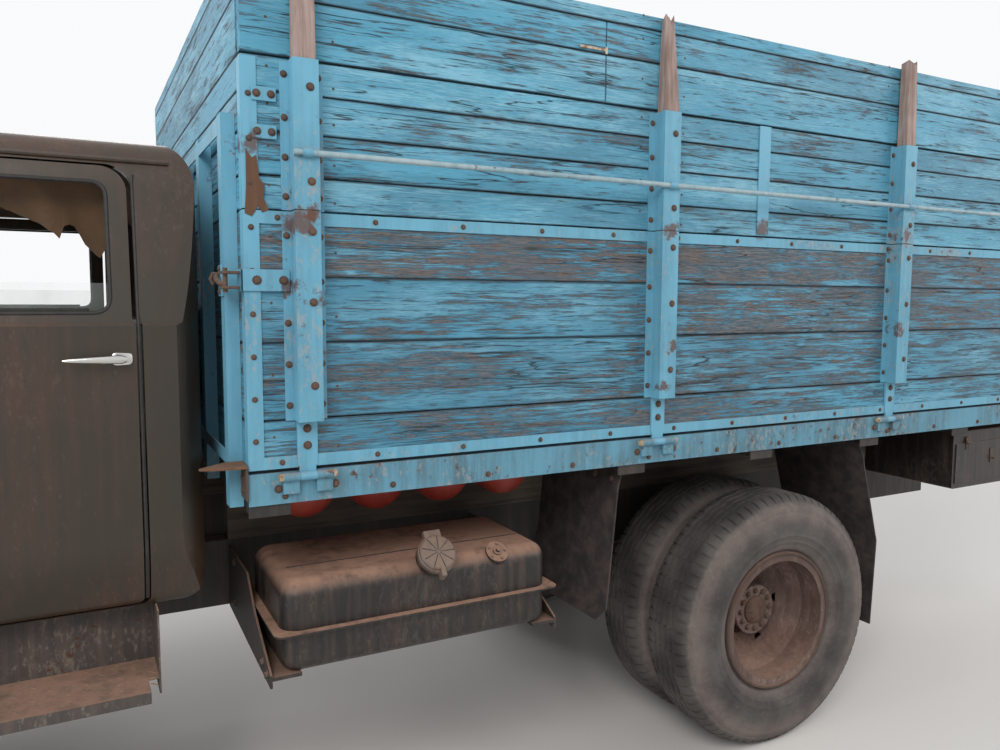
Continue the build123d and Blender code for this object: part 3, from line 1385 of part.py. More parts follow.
# Steps under the doors: skirt, tread plate with a lip, an angle at the rear and arms to the rails
step_z = 760
step_outer_y = 1150
step_inner_y = 900
step_wall = 5
step_lip = 34
step_rear_x = door_rear_x
step_front_x = door_front_x - 10
with BuildPart() as steps:
    block(step_rear_x, step_front_x, step_inner_y, step_outer_y, step_z - step_wall, step_z)
    block(step_rear_x, step_front_x, step_outer_y - step_wall, step_outer_y, step_z - step_lip, step_z)
    riser_y = step_inner_y + step_wall
    block(step_rear_x, step_front_x, step_inner_y, riser_y, step_z - step_wall, cab_bottom_z - 4)
    end_x = step_rear_x - step_lip
    end_y = step_outer_y - 90
    block(end_x, step_rear_x, step_inner_y, riser_y, step_z - 50, cab_bottom_z - seat_gap)
    block(end_x, end_x + step_wall, step_inner_y, end_y, step_z - 50, cab_bottom_z - seat_gap)
    block(end_x, step_rear_x, step_inner_y, end_y, step_z - step_wall, step_z)
    for x in (step_rear_x + 90, step_front_x - 90):
        block(x - stay_half, x + stay_half, rail_outer_y, step_inner_y + 60, step_z - 40, step_z - step_wall)
    mirror(about=Plane.XZ)
save(steps, "steps")

# Bench seat, dashboard, steering wheel and headliner inside the cab
seat_front_x = cab_back_x + 640
seat_z = 1290
seat_half = 760
seat_thickness = 140
backrest_thickness = 95
backrest_height = 500
seat_round = 25
seat_frame_half = 700
cushion_back_x = cab_back_x + cab_skin + seat_gap
backrest_front_x = cushion_back_x + backrest_thickness
with BuildPart() as seat:
    block(cushion_back_x, seat_front_x, -seat_half, seat_half, seat_z, seat_z + seat_thickness)
    block(cushion_back_x, backrest_front_x, -seat_half, seat_half, seat_z, seat_z + backrest_height)
    fillet(seat.edges().filter_by(Axis.Y), radius=seat_round)
save(seat, "seat")

with BuildPart() as seat_frame:
    block(
        cab_back_x + 150, seat_front_x - 20, -seat_frame_half, seat_frame_half,
        cab_floor_z + cab_skin, seat_z - seat_gap,
    )
save(seat_frame, "seat_frame")

wheel_y = 420
wheel_x = cab_back_x + 780
wheel_z = 1650
column_tilt = 40
column_radius = 22
column_length = 560
steering_radius = 215
steering_grip_radius = 14
steering_boss_radius = 40
steering_boss_height = 40
steering_spoke_count = 3
dash_x = cab_back_x + 1010
dash_front_x = cab_front_x - cab_skin
dash_half = 560
dash_low_z = 1400
dash_high_z = 1560
with BuildPart() as dashboard:
    with BuildSketch(Plane.XZ.offset(-dash_half)):
        with BuildLine():
            Polyline(
                (dash_x, dash_low_z), (dash_x - 60, dash_low_z + 40), (dash_x - 40, dash_high_z),
                (dash_x + 60, dash_high_z + 30), (dash_front_x, dash_high_z), (dash_front_x, dash_low_z), close=True,
            )
        make_face()
    extrude(amount=2 * dash_half)
    with Locations(Location((wheel_x, wheel_y, wheel_z), (0, -column_tilt, 0))):
        Cylinder(
            column_radius + seat_gap, column_length + 50, align=(Align.CENTER, Align.CENTER, Align.MAX),
            mode=Mode.SUBTRACT,
        )
save(dashboard, "dashboard")

with BuildPart() as steering_wheel:
    with Locations(Location((wheel_x, wheel_y, wheel_z), (0, -column_tilt, 0))):
        Torus(steering_radius, steering_grip_radius)
        Cylinder(steering_boss_radius, steering_boss_height)
        with PolarLocations(0, steering_spoke_count):
            Box(steering_radius, 26, 12, align=(Align.MIN, Align.CENTER, Align.CENTER))
        Cylinder(column_radius, column_length, align=(Align.CENTER, Align.CENTER, Align.MAX))
save(steering_wheel, "steering_wheel")

liner_wall = 4
liner_low_z = 2200
with BuildPart() as headliner:
    add(three_view(cab_side, cab_front, cab_plan, cab_skin + seat_gap))
    add(three_view(cab_side, cab_front, cab_plan, cab_skin + seat_gap + liner_wall), mode=Mode.SUBTRACT)
    block(cab_back_x - 10, cab_front_x + 10, -1200, 1200, 900, liner_low_z, mode=Mode.SUBTRACT)
    block(cab_back_x + 800, cab_front_x + 10, -1200, 1200, 900, 2320, mode=Mode.SUBTRACT)
save(headliner, "headliner")
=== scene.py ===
# A bonneted cargo truck with a weathered wooden body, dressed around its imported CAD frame.
# Metres, +X forwards, +Y to the truck's left, +Z up.
import math

import bmesh
import bpy
from mathutils import Matrix, Vector, noise


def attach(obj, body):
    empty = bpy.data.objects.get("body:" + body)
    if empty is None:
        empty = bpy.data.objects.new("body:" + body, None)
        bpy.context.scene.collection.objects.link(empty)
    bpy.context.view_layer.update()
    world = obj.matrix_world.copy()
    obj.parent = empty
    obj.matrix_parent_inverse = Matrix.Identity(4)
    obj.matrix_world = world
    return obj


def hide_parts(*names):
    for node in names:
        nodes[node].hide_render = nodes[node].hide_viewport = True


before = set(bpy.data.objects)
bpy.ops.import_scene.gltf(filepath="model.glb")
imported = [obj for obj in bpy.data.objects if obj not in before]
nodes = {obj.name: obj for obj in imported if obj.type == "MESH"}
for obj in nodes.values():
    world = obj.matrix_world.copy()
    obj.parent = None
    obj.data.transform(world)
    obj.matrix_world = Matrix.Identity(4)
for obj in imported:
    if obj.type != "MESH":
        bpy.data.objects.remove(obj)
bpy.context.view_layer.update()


def span(node, axis):
    # Lowest and highest place of a CAD node along an axis
    item = nodes[node]
    places = [(item.matrix_world @ Vector(corner))[axis] for corner in item.bound_box]
    return min(places), max(places)


def spaced(start, pitch, count):
    return [start + index * pitch for index in range(count)]


# Places on the CAD frame: axles and board faces are read from it, posts go by their pitch
plankThickness = 0.040
innerY = span("left_board_planks", 1)[0]
truck = {
    "rearAxleX": sum(span("rear_left_tyres", 0)) / 2,
    "frontAxleX": sum(span("front_left_tyre", 0)) / 2,
    "wheelZ": sum(span("rear_left_tyres", 2)) / 2,
    "boardInnerY": innerY,
    "boardFaceY": innerY + plankThickness,
    "tailFaceX": span("tailboard_planks", 0)[1] - plankThickness,
    "postXs": spaced(0.65405, -1.3057, 4),
    "tailPostYs": spaced(-0.84, 0.84, 3),
}

# Camera, found from the wheel's circle, the ground and the level lines of the photograph
cameraValues = {
    "place": (1.2595, 3.5513, 1.8644),
    "yaw": 27.95,
    "pitch": 5.18,
    "roll": 0.23,
    "focal": 808.85,
    "width": 1000,
    "sensor": 36.0,
}


def addCamera(values):
    yaw, pitch, roll = (math.radians(values[key]) for key in ("yaw", "pitch", "roll"))
    level = Vector((-math.sin(yaw), -math.cos(yaw), 0))
    side = Vector((-math.cos(yaw), math.sin(yaw), 0))
    up = Vector((0, 0, 1))
    ahead = level * math.cos(pitch) - up * math.sin(pitch)
    above = up * math.cos(pitch) + level * math.sin(pitch)
    right = side * math.cos(roll) + above * math.sin(roll)
    top = above * math.cos(roll) - side * math.sin(roll)
    data = bpy.data.cameras.new("camera")
    data.sensor_width = values["sensor"]
    data.lens = values["focal"] * values["sensor"] / values["width"]
    data.clip_end = 200
    camera = bpy.data.objects.new("camera", data)
    turn = Matrix((right, top, -ahead)).transposed().to_4x4()
    camera.matrix_world = Matrix.Translation(values["place"]) @ turn
    bpy.context.scene.collection.objects.link(camera)
    bpy.context.scene.camera = camera


class Wire:
    # One output of a shader, with arithmetic that adds its Math nodes.
    def __init__(self, tree, socket):
        self.tree = tree
        self.socket = socket

    def join(self, operation, *values):
        node = self.tree.nodes.new("ShaderNodeMath")
        node.operation = operation
        for index, value in enumerate(values):
            if isinstance(value, Wire):
                self.tree.links.new(value.socket, node.inputs[index])
            else:
                node.inputs[index].default_value = value
        return Wire(self.tree, node.outputs[0])

    def __add__(self, other):
        return self.join("ADD", self, other)

    def __sub__(self, other):
        return self.join("SUBTRACT", self, other)

    def __rsub__(self, other):
        return self.join("SUBTRACT", other, self)

    def __mul__(self, other):
        return self.join("MULTIPLY", self, other)

    def __pow__(self, other):
        return self.join("POWER", self, other)

    def __gt__(self, other):
        return self.join("GREATER_THAN", self, other)

    def __abs__(self):
        return self.join("ABSOLUTE", self)

    def least(self, other):
        return self.join("MINIMUM", self, other)

    def most(self, other):
        return self.join("MAXIMUM", self, other)

    __radd__ = __add__
    __rmul__ = __mul__


def addNode(tree, kind, settings=None, **sockets):
    # A shader node with its settings and its sockets' values or links.
    # Sockets go by name, or by place as at0.
    node = tree.nodes.new(kind)
    for name, value in (settings or {}).items():
        setattr(node, name, value)
    for name, value in sockets.items():
        wanted = name.replace("_", " ")
        if name.startswith("at"):
            socket = node.inputs[int(name[2:])]
        else:
            socket = next(s for s in node.inputs if s.enabled and s.name == wanted)
        feed(tree, socket, value)
    return {s.name: Wire(tree, s) for s in node.outputs if s.enabled}


def feed(tree, socket, value):
    if isinstance(value, Wire):
        tree.links.new(value.socket, socket)
    elif isinstance(value, tuple) and len(value) == 3 and socket.type == "RGBA":
        socket.default_value = (*value, 1)
    else:
        socket.default_value = value


class Finish:
    # One material: nodes come from make, and coat says what reaches the surface.
    def __init__(self, name):
        self.material = bpy.data.materials.new(name)
        self.material.use_nodes = True
        self.tree = self.material.node_tree
        self.surface = self.tree.nodes["Principled BSDF"]
        self.coords = self.make("ShaderNodeTexCoord")
        self.place = self.coords["Object"]
        split = self.make("ShaderNodeSeparateXYZ", Vector=self.place)
        self.x, self.y, self.z = split["X"], split["Y"], split["Z"]
        normal = self.make("ShaderNodeSeparateXYZ", Vector=self.coords["Normal"])
        self.upward = normal["Z"]

    def make(self, kind, settings=None, **sockets):
        return addNode(self.tree, kind, settings, **sockets)

    def scaled(self, *stretch):
        return self.make("ShaderNodeMapping", Vector=self.place, Scale=stretch)["Vector"]

    def cloud(self, scale, vector, detail, rough=0.55, bend=0.0, seed=0.0):
        sockets = {"Vector": vector or self.place, "Scale": scale, "Detail": detail, "Roughness": rough}
        sockets.update({"Distortion": bend, "W": seed})
        return self.make("ShaderNodeTexNoise", {"noise_dimensions": "4D"}, **sockets)["Fac"]

    def cells(self, scale):
        # Distance to the nearest border between cells
        sockets = {"Vector": self.place, "Scale": scale}
        return self.make("ShaderNodeTexVoronoi", {"feature": "DISTANCE_TO_EDGE"}, **sockets)["Distance"]

    def ease(self, value, low, high):
        sockets = {"Value": value, "From_Min": low, "From_Max": high}
        return self.make("ShaderNodeMapRange", {"interpolation_type": "SMOOTHSTEP"}, **sockets)["Result"]

    def mix(self, first, second, share):
        return self.make("ShaderNodeMix", {"data_type": "RGBA"}, Factor=share, A=first, B=second)["Result"]

    def bump(self, height, distance, strength):
        return self.make("ShaderNodeBump", Height=height, Distance=distance, Strength=strength)["Normal"]

    def radius(self, x, z):
        # Distance from a wheel's axis
        return ((self.x - x) ** 2.0 + (self.z - z) ** 2.0) ** 0.5

    def coat(self, **sockets):
        for name, value in sockets.items():
            feed(self.tree, self.surface.inputs[name.replace("_", " ")], value)
        return self.material


# Colours as linear red, green and blue
tones = {
    "paint": (0.085, 0.330, 0.480),
    "paintDeep": (0.028, 0.120, 0.190),
    "paintChalk": (0.250, 0.500, 0.620),
    "bareWood": (0.055, 0.048, 0.046),
    "paleWood": (0.190, 0.165, 0.155),
    "brownWood": (0.150, 0.088, 0.062),
    "crack": (0.010, 0.010, 0.011),
    "rust": (0.130, 0.045, 0.018),
    "rustDark": (0.045, 0.018, 0.010),
    "olive": (0.021, 0.0145, 0.0075),
    "oliveWarm": (0.039, 0.0185, 0.009),
    "dust": (0.310, 0.180, 0.125),
    "dustPale": (0.360, 0.300, 0.250),
    "black": (0.014, 0.013, 0.013),
    "rubber": (0.026, 0.023, 0.023),
    "tyreDust": (0.300, 0.235, 0.215),
}


def plankFinish(name, along, joints):
    # Blue paint on planks that run along X or Y. It holds on the grain's ridges and is lost in its furrows.
    f = Finish(name)
    place = {"X": (0.045, 1, 1), "Y": (1, 0.045, 1)}[along]
    run = f.scaled(*place)
    longRun = f.scaled(*(0.22 if v < 1 else 1 for v in place))
    plank = 0.0
    edge = 1.0
    for joint in joints:
        plank = (f.z > joint) * 1.0 + plank
        edge = abs(f.z - joint) if edge == 1.0 else abs(f.z - joint).least(edge)
    seed = plank * 3.7
    grain = f.cloud(72, run, 6, 0.68, 0.35, seed)
    fine = f.cloud(240, run, 3, 0.7, 0.15, seed)
    broad = f.cloud(1.7, longRun, 4, 0.6, 0.2, seed)
    patch = f.cloud(13, longRun, 6, 0.7, 0.25, seed)
    low = 1.0 - f.ease(f.z, 2.10, 2.13)
    band = f.ease(f.z, 1.72, 1.76) * low
    rear = 1.0 - f.ease(f.x, -1.2, 0.4)
    wear = (broad * 0.40 + patch * 0.60 - 0.5) * 0.72 + low * 0.036 + band * (rear * 0.036 + 0.014)
    total = grain * 0.50 + fine * 0.50 + wear
    bare = f.ease(total, 0.556, 0.606)
    thin = f.ease(total, 0.490, 0.565)
    chalk = f.ease(f.cloud(6, longRun, 5, 0.65, 0.2, seed + 11.0) * 0.5 + fine * 0.5, 0.46, 0.60)
    tone = f.ease(f.cloud(1.1, None, 2, 0.5, 0.0, seed), 0.36, 0.66)
    painted = f.mix(tones["paintDeep"], tones["paint"], tone * 0.45 + grain * 0.85)
    painted = f.mix(painted, tones["paintChalk"], chalk * (0.62 - low * 0.18))
    painted = f.mix(painted, tones["paintDeep"], thin * (0.58 + low * 0.30))
    brown = f.ease(f.cloud(2.6, longRun, 4, 0.6, 0.0, seed + 4.0), 0.46, 0.62) * (band * 0.42 + 0.15)
    wood = f.mix(tones["bareWood"], tones["paleWood"], f.ease(fine, 0.43, 0.60))
    wood = f.mix(wood, tones["brownWood"], brown)
    wood = f.mix(wood, tones["paintDeep"], f.ease(patch, 0.46, 0.60) * 0.35)
    color = f.mix(painted, wood, bare)
    split = 1.0 - f.ease(abs(f.cloud(15, run, 4, 0.55, 0.5, seed + 5.0) - 0.5), 0.0, 0.0075)
    split = split * f.ease(f.cloud(3, None, 2, 0.5, 0.0, seed), 0.44, 0.54)
    pit = f.ease(fine * 0.6 + grain * 0.4 + low * 0.010, 0.572, 0.630) * 0.82
    color = f.mix(color, tones["crack"], split.most(pit) * 0.86)
    joint = 1.0 - f.ease(edge + fine * 0.008 - 0.004, 0.0015, 0.0085)
    color = f.mix(color, tones["crack"], joint * 0.80)
    height = grain * 0.55 + fine * 0.45 - bare * 0.40 - split * 1.2 - pit * 0.5
    return f.coat(
        Base_Color=color,
        Roughness=bare * 0.20 + 0.60,
        Normal=f.bump(height, 0.0045, 0.95),
    )


def woodFinish(name, first, second, along):
    f = Finish(name)
    stretch = {"X": (0.05, 1, 1), "Y": (1, 0.05, 1), "Z": (1, 1, 0.05)}[along]
    run = f.scaled(*stretch)
    grain = f.cloud(55, run, 6, 0.6, 0.3)
    fine = f.cloud(170, run, 3, 0.7)
    blot = f.cloud(4, None, 3)
    color = f.mix(first, second, f.ease(grain * 0.6 + blot * 0.4, 0.38, 0.62))
    color = f.mix(color, tones["crack"], f.ease(fine, 0.60, 0.72) * 0.7)
    return f.coat(Base_Color=color, Roughness=0.85, Normal=f.bump(grain + fine * 0.5, 0.003, 0.8))


def steelFinish(name, base, second, rust, dust, rough, chip=tones["rust"], gloss=0.0, scuff=0.0, stains=()):
    # Painted steel: mottled tone, rust that breaks through, rubbed spots, run-off and dust on what faces up
    f = Finish(name)
    broad = f.cloud(2.2, None, 4, 0.6, 0.3)
    spots = f.cloud(26, None, 6, 0.68, 0.2)
    pits = f.cloud(150, None, 3, 0.6)
    run = f.cloud(34, f.scaled(1, 1, 0.07), 5, 0.64)
    color = f.mix(base, second, f.ease(broad * 0.6 + run * 0.4, 0.40, 0.62))
    rubbed = f.ease(f.cloud(70, f.scaled(1, 1, 0.5), 5, 0.7) * 0.6 + broad * 0.4, 0.52, 0.60) * scuff
    color = f.mix(color, tones["dustPale"], rubbed * 0.45)
    darkened = f.ease(spots * 0.7 + broad * 0.3, 0.60 - rust * 0.06, 0.66) * rust
    color = f.mix(color, tones["rustDark"], darkened)
    worn = f.ease(spots * 0.62 + broad * 0.3 + pits * 0.08, 0.64 - rust * 0.10, 0.68 - rust * 0.08)
    color = f.mix(color, f.mix(chip, tones["rustDark"], pits), worn * (0.45 + rust * 0.5))
    for x, z, reach in stains:
        stain = 1.0 - f.ease(f.radius(x, z) + (spots - 0.5) * 0.16, reach * 0.35, reach)
        color = f.mix(color, f.mix(tones["rust"], tones["rustDark"], pits), stain * 0.85)
    settled = f.ease(f.upward, 0.15, 0.95) * f.ease(broad * 0.5 + spots * 0.5, 0.28, 0.58) * dust
    grime = settled + f.ease(run, 0.42, 0.70) * dust * 0.10
    color = f.mix(color, tones["dust"], grime)
    return f.coat(
        Base_Color=color,
        Roughness=(worn * 0.25 + grime * 0.5 + rough + pits * 0.08).least(0.95),
        Normal=f.bump(spots * 0.5 + pits * 0.25 - worn * 0.35 - rubbed * 0.2, 0.0012, 0.7),
        Coat_Weight=gloss,
    )


def tyreFinish(name, axleX):
    f = Finish(name)
    far = f.radius(axleX, truck["wheelZ"])
    broad = f.cloud(5, None, 4)
    fine = f.cloud(160, None, 3, 0.6)
    color = f.mix(tones["rubber"], (0.075, 0.068, 0.062), f.ease(broad, 0.35, 0.65))
    band = f.ease(far, 0.40, 0.47) * (1.0 - f.ease(far, 0.492, 0.515))
    low = 1.0 - f.ease(far, 0.30, 0.36)
    dusty = (band * 0.40 + low * 0.30 + 0.07) * (f.ease(f.cloud(17, None, 6, 0.6), 0.22, 0.72) * 0.45 + 0.33)
    tread = f.ease(far, 0.505, 0.53)
    dusty = dusty * (1.0 - tread * 0.85)
    scrub = f.ease(f.cloud(60, None, 4, 0.7), 0.52, 0.66) * 0.10
    color = f.mix(color, tones["tyreDust"], dusty + scrub * (1.0 - tread))
    return f.coat(
        Base_Color=color,
        Roughness=0.78 + fine * 0.12,
        Normal=f.bump(fine + f.cloud(40, None, 4) * 0.6, 0.0009, 0.6),
    )


def glassFinish(name, color, alpha, dusty):
    f = Finish(name)
    smear = f.ease(f.cloud(6, f.scaled(1, 1, 0.4), 5, 0.6), 0.45, 0.75)
    f.material.surface_render_method = "BLENDED"
    return f.coat(
        Base_Color=f.mix(color, tones["dustPale"], smear * dusty),
        Roughness=0.04 + smear * 0.3,
        Alpha=alpha + smear * dusty * 0.5,
        Coat_Weight=0.6,
    )


def clothFinish(name, first, second):
    f = Finish(name)
    weft, warp = (
        f.make("ShaderNodeTexWave", {"bands_direction": way}, Vector=f.place, Scale=144.0)["Fac"]
        for way in "XY"
    )
    blot = f.cloud(5, None, 5, 0.6)
    color = f.mix(first, second, f.ease(blot, 0.36, 0.66) * 0.5 + weft * warp * 0.2)
    return f.coat(
        Base_Color=color,
        Roughness=0.92,
        Normal=f.bump(weft * warp + blot * 0.6, 0.0008, 0.6),
    )


def leatherFinish(name, base, worn):
    f = Finish(name)
    grain = f.cells(320)
    blot = f.cloud(6, None, 5, 0.6)
    rubbed = f.ease(f.upward, 0.5, 1.0) * f.ease(blot, 0.38, 0.62)
    color = f.mix(base, worn, rubbed * 0.7 + f.ease(blot, 0.55, 0.7) * 0.2)
    return f.coat(
        Base_Color=color,
        Roughness=0.48 + rubbed * 0.25,
        Normal=f.bump(f.ease(grain, 0.0, 0.12) + blot, 0.0007, 0.6),
    )


def chromeFinish(name, base, rough):
    f = Finish(name)
    pits = f.cloud(120, None, 5, 0.7)
    spots = f.ease(pits, 0.60, 0.68)
    return f.coat(
        Base_Color=f.mix(base, tones["rust"], spots * 0.7),
        Metallic=1.0 - spots * 0.7,
        Roughness=rough + f.cloud(30, None, 4) * 0.15 + spots * 0.4,
        Normal=f.bump(pits, 0.0003, 0.4),
    )


def plainFinish(name, base, second, rough, scale, depth=0.0004):
    f = Finish(name)
    blot = f.cloud(scale, None, 5, 0.6)
    return f.coat(
        Base_Color=f.mix(base, second, f.ease(blot, 0.35, 0.68)),
        Roughness=rough + blot * 0.15,
        Normal=f.bump(blot + f.cloud(scale * 8, None, 3) * 0.4, depth, 0.6),
    )


plankJoints = (1.5180, 1.7430, 1.9330, 2.1200, 2.2180, 2.3400, 2.4500, 2.5470, 2.7100, 2.8220)
rustStains = (
    (0.672, 2.085, 0.050), (0.640, 2.112, 0.034), (0.618, 1.868, 0.036), (0.700, 1.900, 0.026),
    (-0.655, 2.125, 0.034), (-0.672, 1.700, 0.026), (-1.154, 2.150, 0.052), (-1.950, 2.150, 0.034),
    (-1.935, 1.750, 0.032), (0.800, 2.300, 0.040), (-0.640, 1.560, 0.024),
)
finishes = {
    "planksX": plankFinish("planks along the sides", "X", plankJoints),
    "planksY": plankFinish("planks across the ends", "Y", plankJoints),
    "bodySteel": steelFinish(
        "body steel", (0.125, 0.350, 0.485), (0.085, 0.265, 0.375), 0.5, 0.25, 0.52,
        scuff=1.0, stains=rustStains,
    ),
    "sill": steelFinish("sill steel", (0.10, 0.27, 0.37), (0.055, 0.13, 0.17), 0.85, 0.45, 0.62, scuff=1.0),
    "deck": woodFinish("deck planks", (0.110, 0.090, 0.072), (0.230, 0.185, 0.145), "X"),
    "bearer": woodFinish("bearer timber", (0.045, 0.036, 0.029), (0.110, 0.085, 0.065), "X"),
    "stake": woodFinish("bare stakes", (0.180, 0.120, 0.100), (0.350, 0.270, 0.245), "Z"),
    "step": steelFinish("tread plate", (0.04, 0.034, 0.032), (0.07, 0.056, 0.05), 0.7, 0.80, 0.62, scuff=0.6),
    "frame": steelFinish("frame steel", tones["black"], (0.030, 0.025, 0.022), 0.55, 0.55, 0.62),
    "bumper": steelFinish("bumper steel", (0.030, 0.030, 0.028), (0.045, 0.040, 0.034), 0.5, 0.35, 0.5),
    "spring": steelFinish("spring steel", (0.030, 0.024, 0.020), (0.060, 0.038, 0.026), 0.8, 0.5, 0.7),
    "frontTyre": tyreFinish("front tyre rubber", truck["frontAxleX"]),
    "rearTyre": tyreFinish("rear tyre rubber", truck["rearAxleX"]),
    "rim": steelFinish("rim steel", (0.075, 0.045, 0.036), (0.16, 0.105, 0.092), 0.65, 0.45, 0.75, scuff=0.6),
    "hub": steelFinish("hub iron", (0.055, 0.036, 0.028), (0.090, 0.055, 0.040), 0.9, 0.4, 0.8),
    "engine": steelFinish("engine iron", (0.030, 0.033, 0.030), (0.050, 0.045, 0.038), 0.3, 0.5, 0.5),
    "radiator": plainFinish("radiator core", (0.015, 0.015, 0.015), (0.035, 0.032, 0.028), 0.6, 60, 0.002),
    "exhaust": steelFinish("exhaust steel", (0.090, 0.055, 0.038), (0.150, 0.095, 0.065), 1.0, 0.3, 0.8),
    "tank": steelFinish(
        "tank steel", (0.009, 0.008, 0.008), (0.017, 0.013, 0.012), 0.25, 0.95, 0.38, scuff=0.15
    ),
    "cylinder": steelFinish("gas cylinder paint", (0.26, 0.022, 0.014), (0.33, 0.045, 0.03), 0.3, 0.4, 0.45),
    "flap": plainFinish("flap rubber", (0.020, 0.017, 0.017), (0.062, 0.045, 0.040), 0.75, 16, 0.001),
    "cab": steelFinish(
        "cab paint", tones["olive"], tones["oliveWarm"], 0.10, 0.12, 0.40, (0.100, 0.042, 0.024), 0.10, 0.10
    ),
    "glass": glassFinish("window glass", (0.62, 0.68, 0.66), 0.07, 0.14),
    "lampGlass": glassFinish("lamp glass", (0.80, 0.80, 0.76), 0.55, 0.25),
    "leather": leatherFinish("seat covering", (0.030, 0.020, 0.015), (0.120, 0.080, 0.055)),
    "wheelPlastic": plainFinish("black plastic", (0.012, 0.012, 0.012), (0.030, 0.028, 0.026), 0.28, 12),
    "liner": clothFinish("headliner cloth", (0.120, 0.070, 0.036), (0.060, 0.036, 0.022)),
    "chrome": chromeFinish("worn chrome", (0.55, 0.54, 0.52), 0.16),
    "seal": plainFinish("door seal rubber", (0.008, 0.008, 0.008), (0.022, 0.020, 0.018), 0.6, 30),
    "bolt": steelFinish("rusty bolts", (0.060, 0.040, 0.030), (0.110, 0.060, 0.040), 0.9, 0.2, 0.7),
    "rod": steelFinish("speckled rod", (0.330, 0.420, 0.450), (0.180, 0.300, 0.350), 0.7, 0.15, 0.6),
    "cream": plainFinish("old cream paint", (0.500, 0.440, 0.330), (0.230, 0.110, 0.060), 0.6, 60),
    "amberGlass": glassFinish("amber lens", (0.75, 0.24, 0.03), 0.92, 0.25),
    "redGlass": glassFinish("red lens", (0.42, 0.018, 0.012), 0.95, 0.25),
    "rustPlate": steelFinish("rusted plate", (0.100, 0.048, 0.026), (0.170, 0.085, 0.045), 0.9, 0.2, 0.8),
    "pinPaint": plainFinish("pin heads", (0.420, 0.360, 0.250), (0.200, 0.090, 0.045), 0.6, 70),
    "cap": steelFinish("filler cap", (0.060, 0.048, 0.042), (0.140, 0.105, 0.085), 0.6, 0.35, 0.45),
}

nodeFinishes = {
    "frame": (
        "frame_rails", "frame_crossmembers", "tow_coupling", "front_axle", "left_knuckle", "right_knuckle",
        "track_rod", "rear_axle", "propeller_shaft", "tank_brackets", "body_crossmembers", "seat_frame",
    ),
    "bumper": ("front_bumper",),
    "step": ("steps",),
    "spring": ("leaf_springs",),
    "frontTyre": ("front_left_tyre", "front_right_tyre"),
    "rearTyre": ("rear_left_tyres", "rear_right_tyres"),
    "rim": ("front_left_rim", "front_right_rim", "rear_left_rims", "rear_right_rims"),
    "engine": ("engine",),
    "radiator": ("radiator",),
    "exhaust": ("exhaust",),
    "tank": ("fuel_tank", "air_tanks", "tool_box"),
    "cylinder": ("gas_cylinders",),
    "bearer": ("body_bearers",),
    "deck": ("deck",),
    "sill": ("body_sills",),
    "bodySteel": ("left_board_ironwork", "right_board_ironwork", "tailboard_ironwork", "front_wall_ironwork"),
    "planksX": ("left_board_planks", "right_board_planks"),
    "planksY": ("tailboard_planks", "front_wall_planks"),
    "flap": ("mudflaps",),
    "cab": ("cab", "left_door", "right_door", "fenders", "grille", "bonnet", "dashboard"),
    "glass": ("cab_glass", "left_door_glass", "right_door_glass"),
    "lampGlass": ("lamps",),
    "leather": ("seat",),
    "wheelPlastic": ("steering_wheel",),
    "liner": ("headliner",),
}
for finish, names in nodeFinishes.items():
    for nodeName in names:
        mesh = nodes[nodeName].data
        mesh.materials.clear()
        mesh.materials.append(finishes[finish])
print("finishes on every CAD node")


def facing(place, ahead):
    # A frame at place whose Z points ahead
    return Matrix.Translation(place) @ Vector(ahead).to_track_quat("Z", "Y").to_matrix().to_4x4()


sides = ((1, "left"), (-1, "right"))
ways = (-1, 1)


def circle(steps, start=0.0):
    # Cosine and sine at equal steps round a circle; start is a share of a step
    angles = (math.tau * (index + start) / steps for index in range(steps))
    return [(math.cos(angle), math.sin(angle)) for angle in angles]


def sideFace(place, side):
    # Plates on a side board are drawn in (X, Z) and raised outwards
    turn = Matrix(((1, 0, 0), (0, 0, side), (0, 1, 0))).to_4x4()
    return Matrix.Translation(place) @ turn


def sideBox(x0, x1, side, y0, y1, z0, z1):
    # Two opposite corners of a box on one side of the truck; y0 and y1 are distances from its middle
    y0, y1 = sorted((side * y0, side * y1))
    return (x0, y0, z0), (x1, y1, z1)


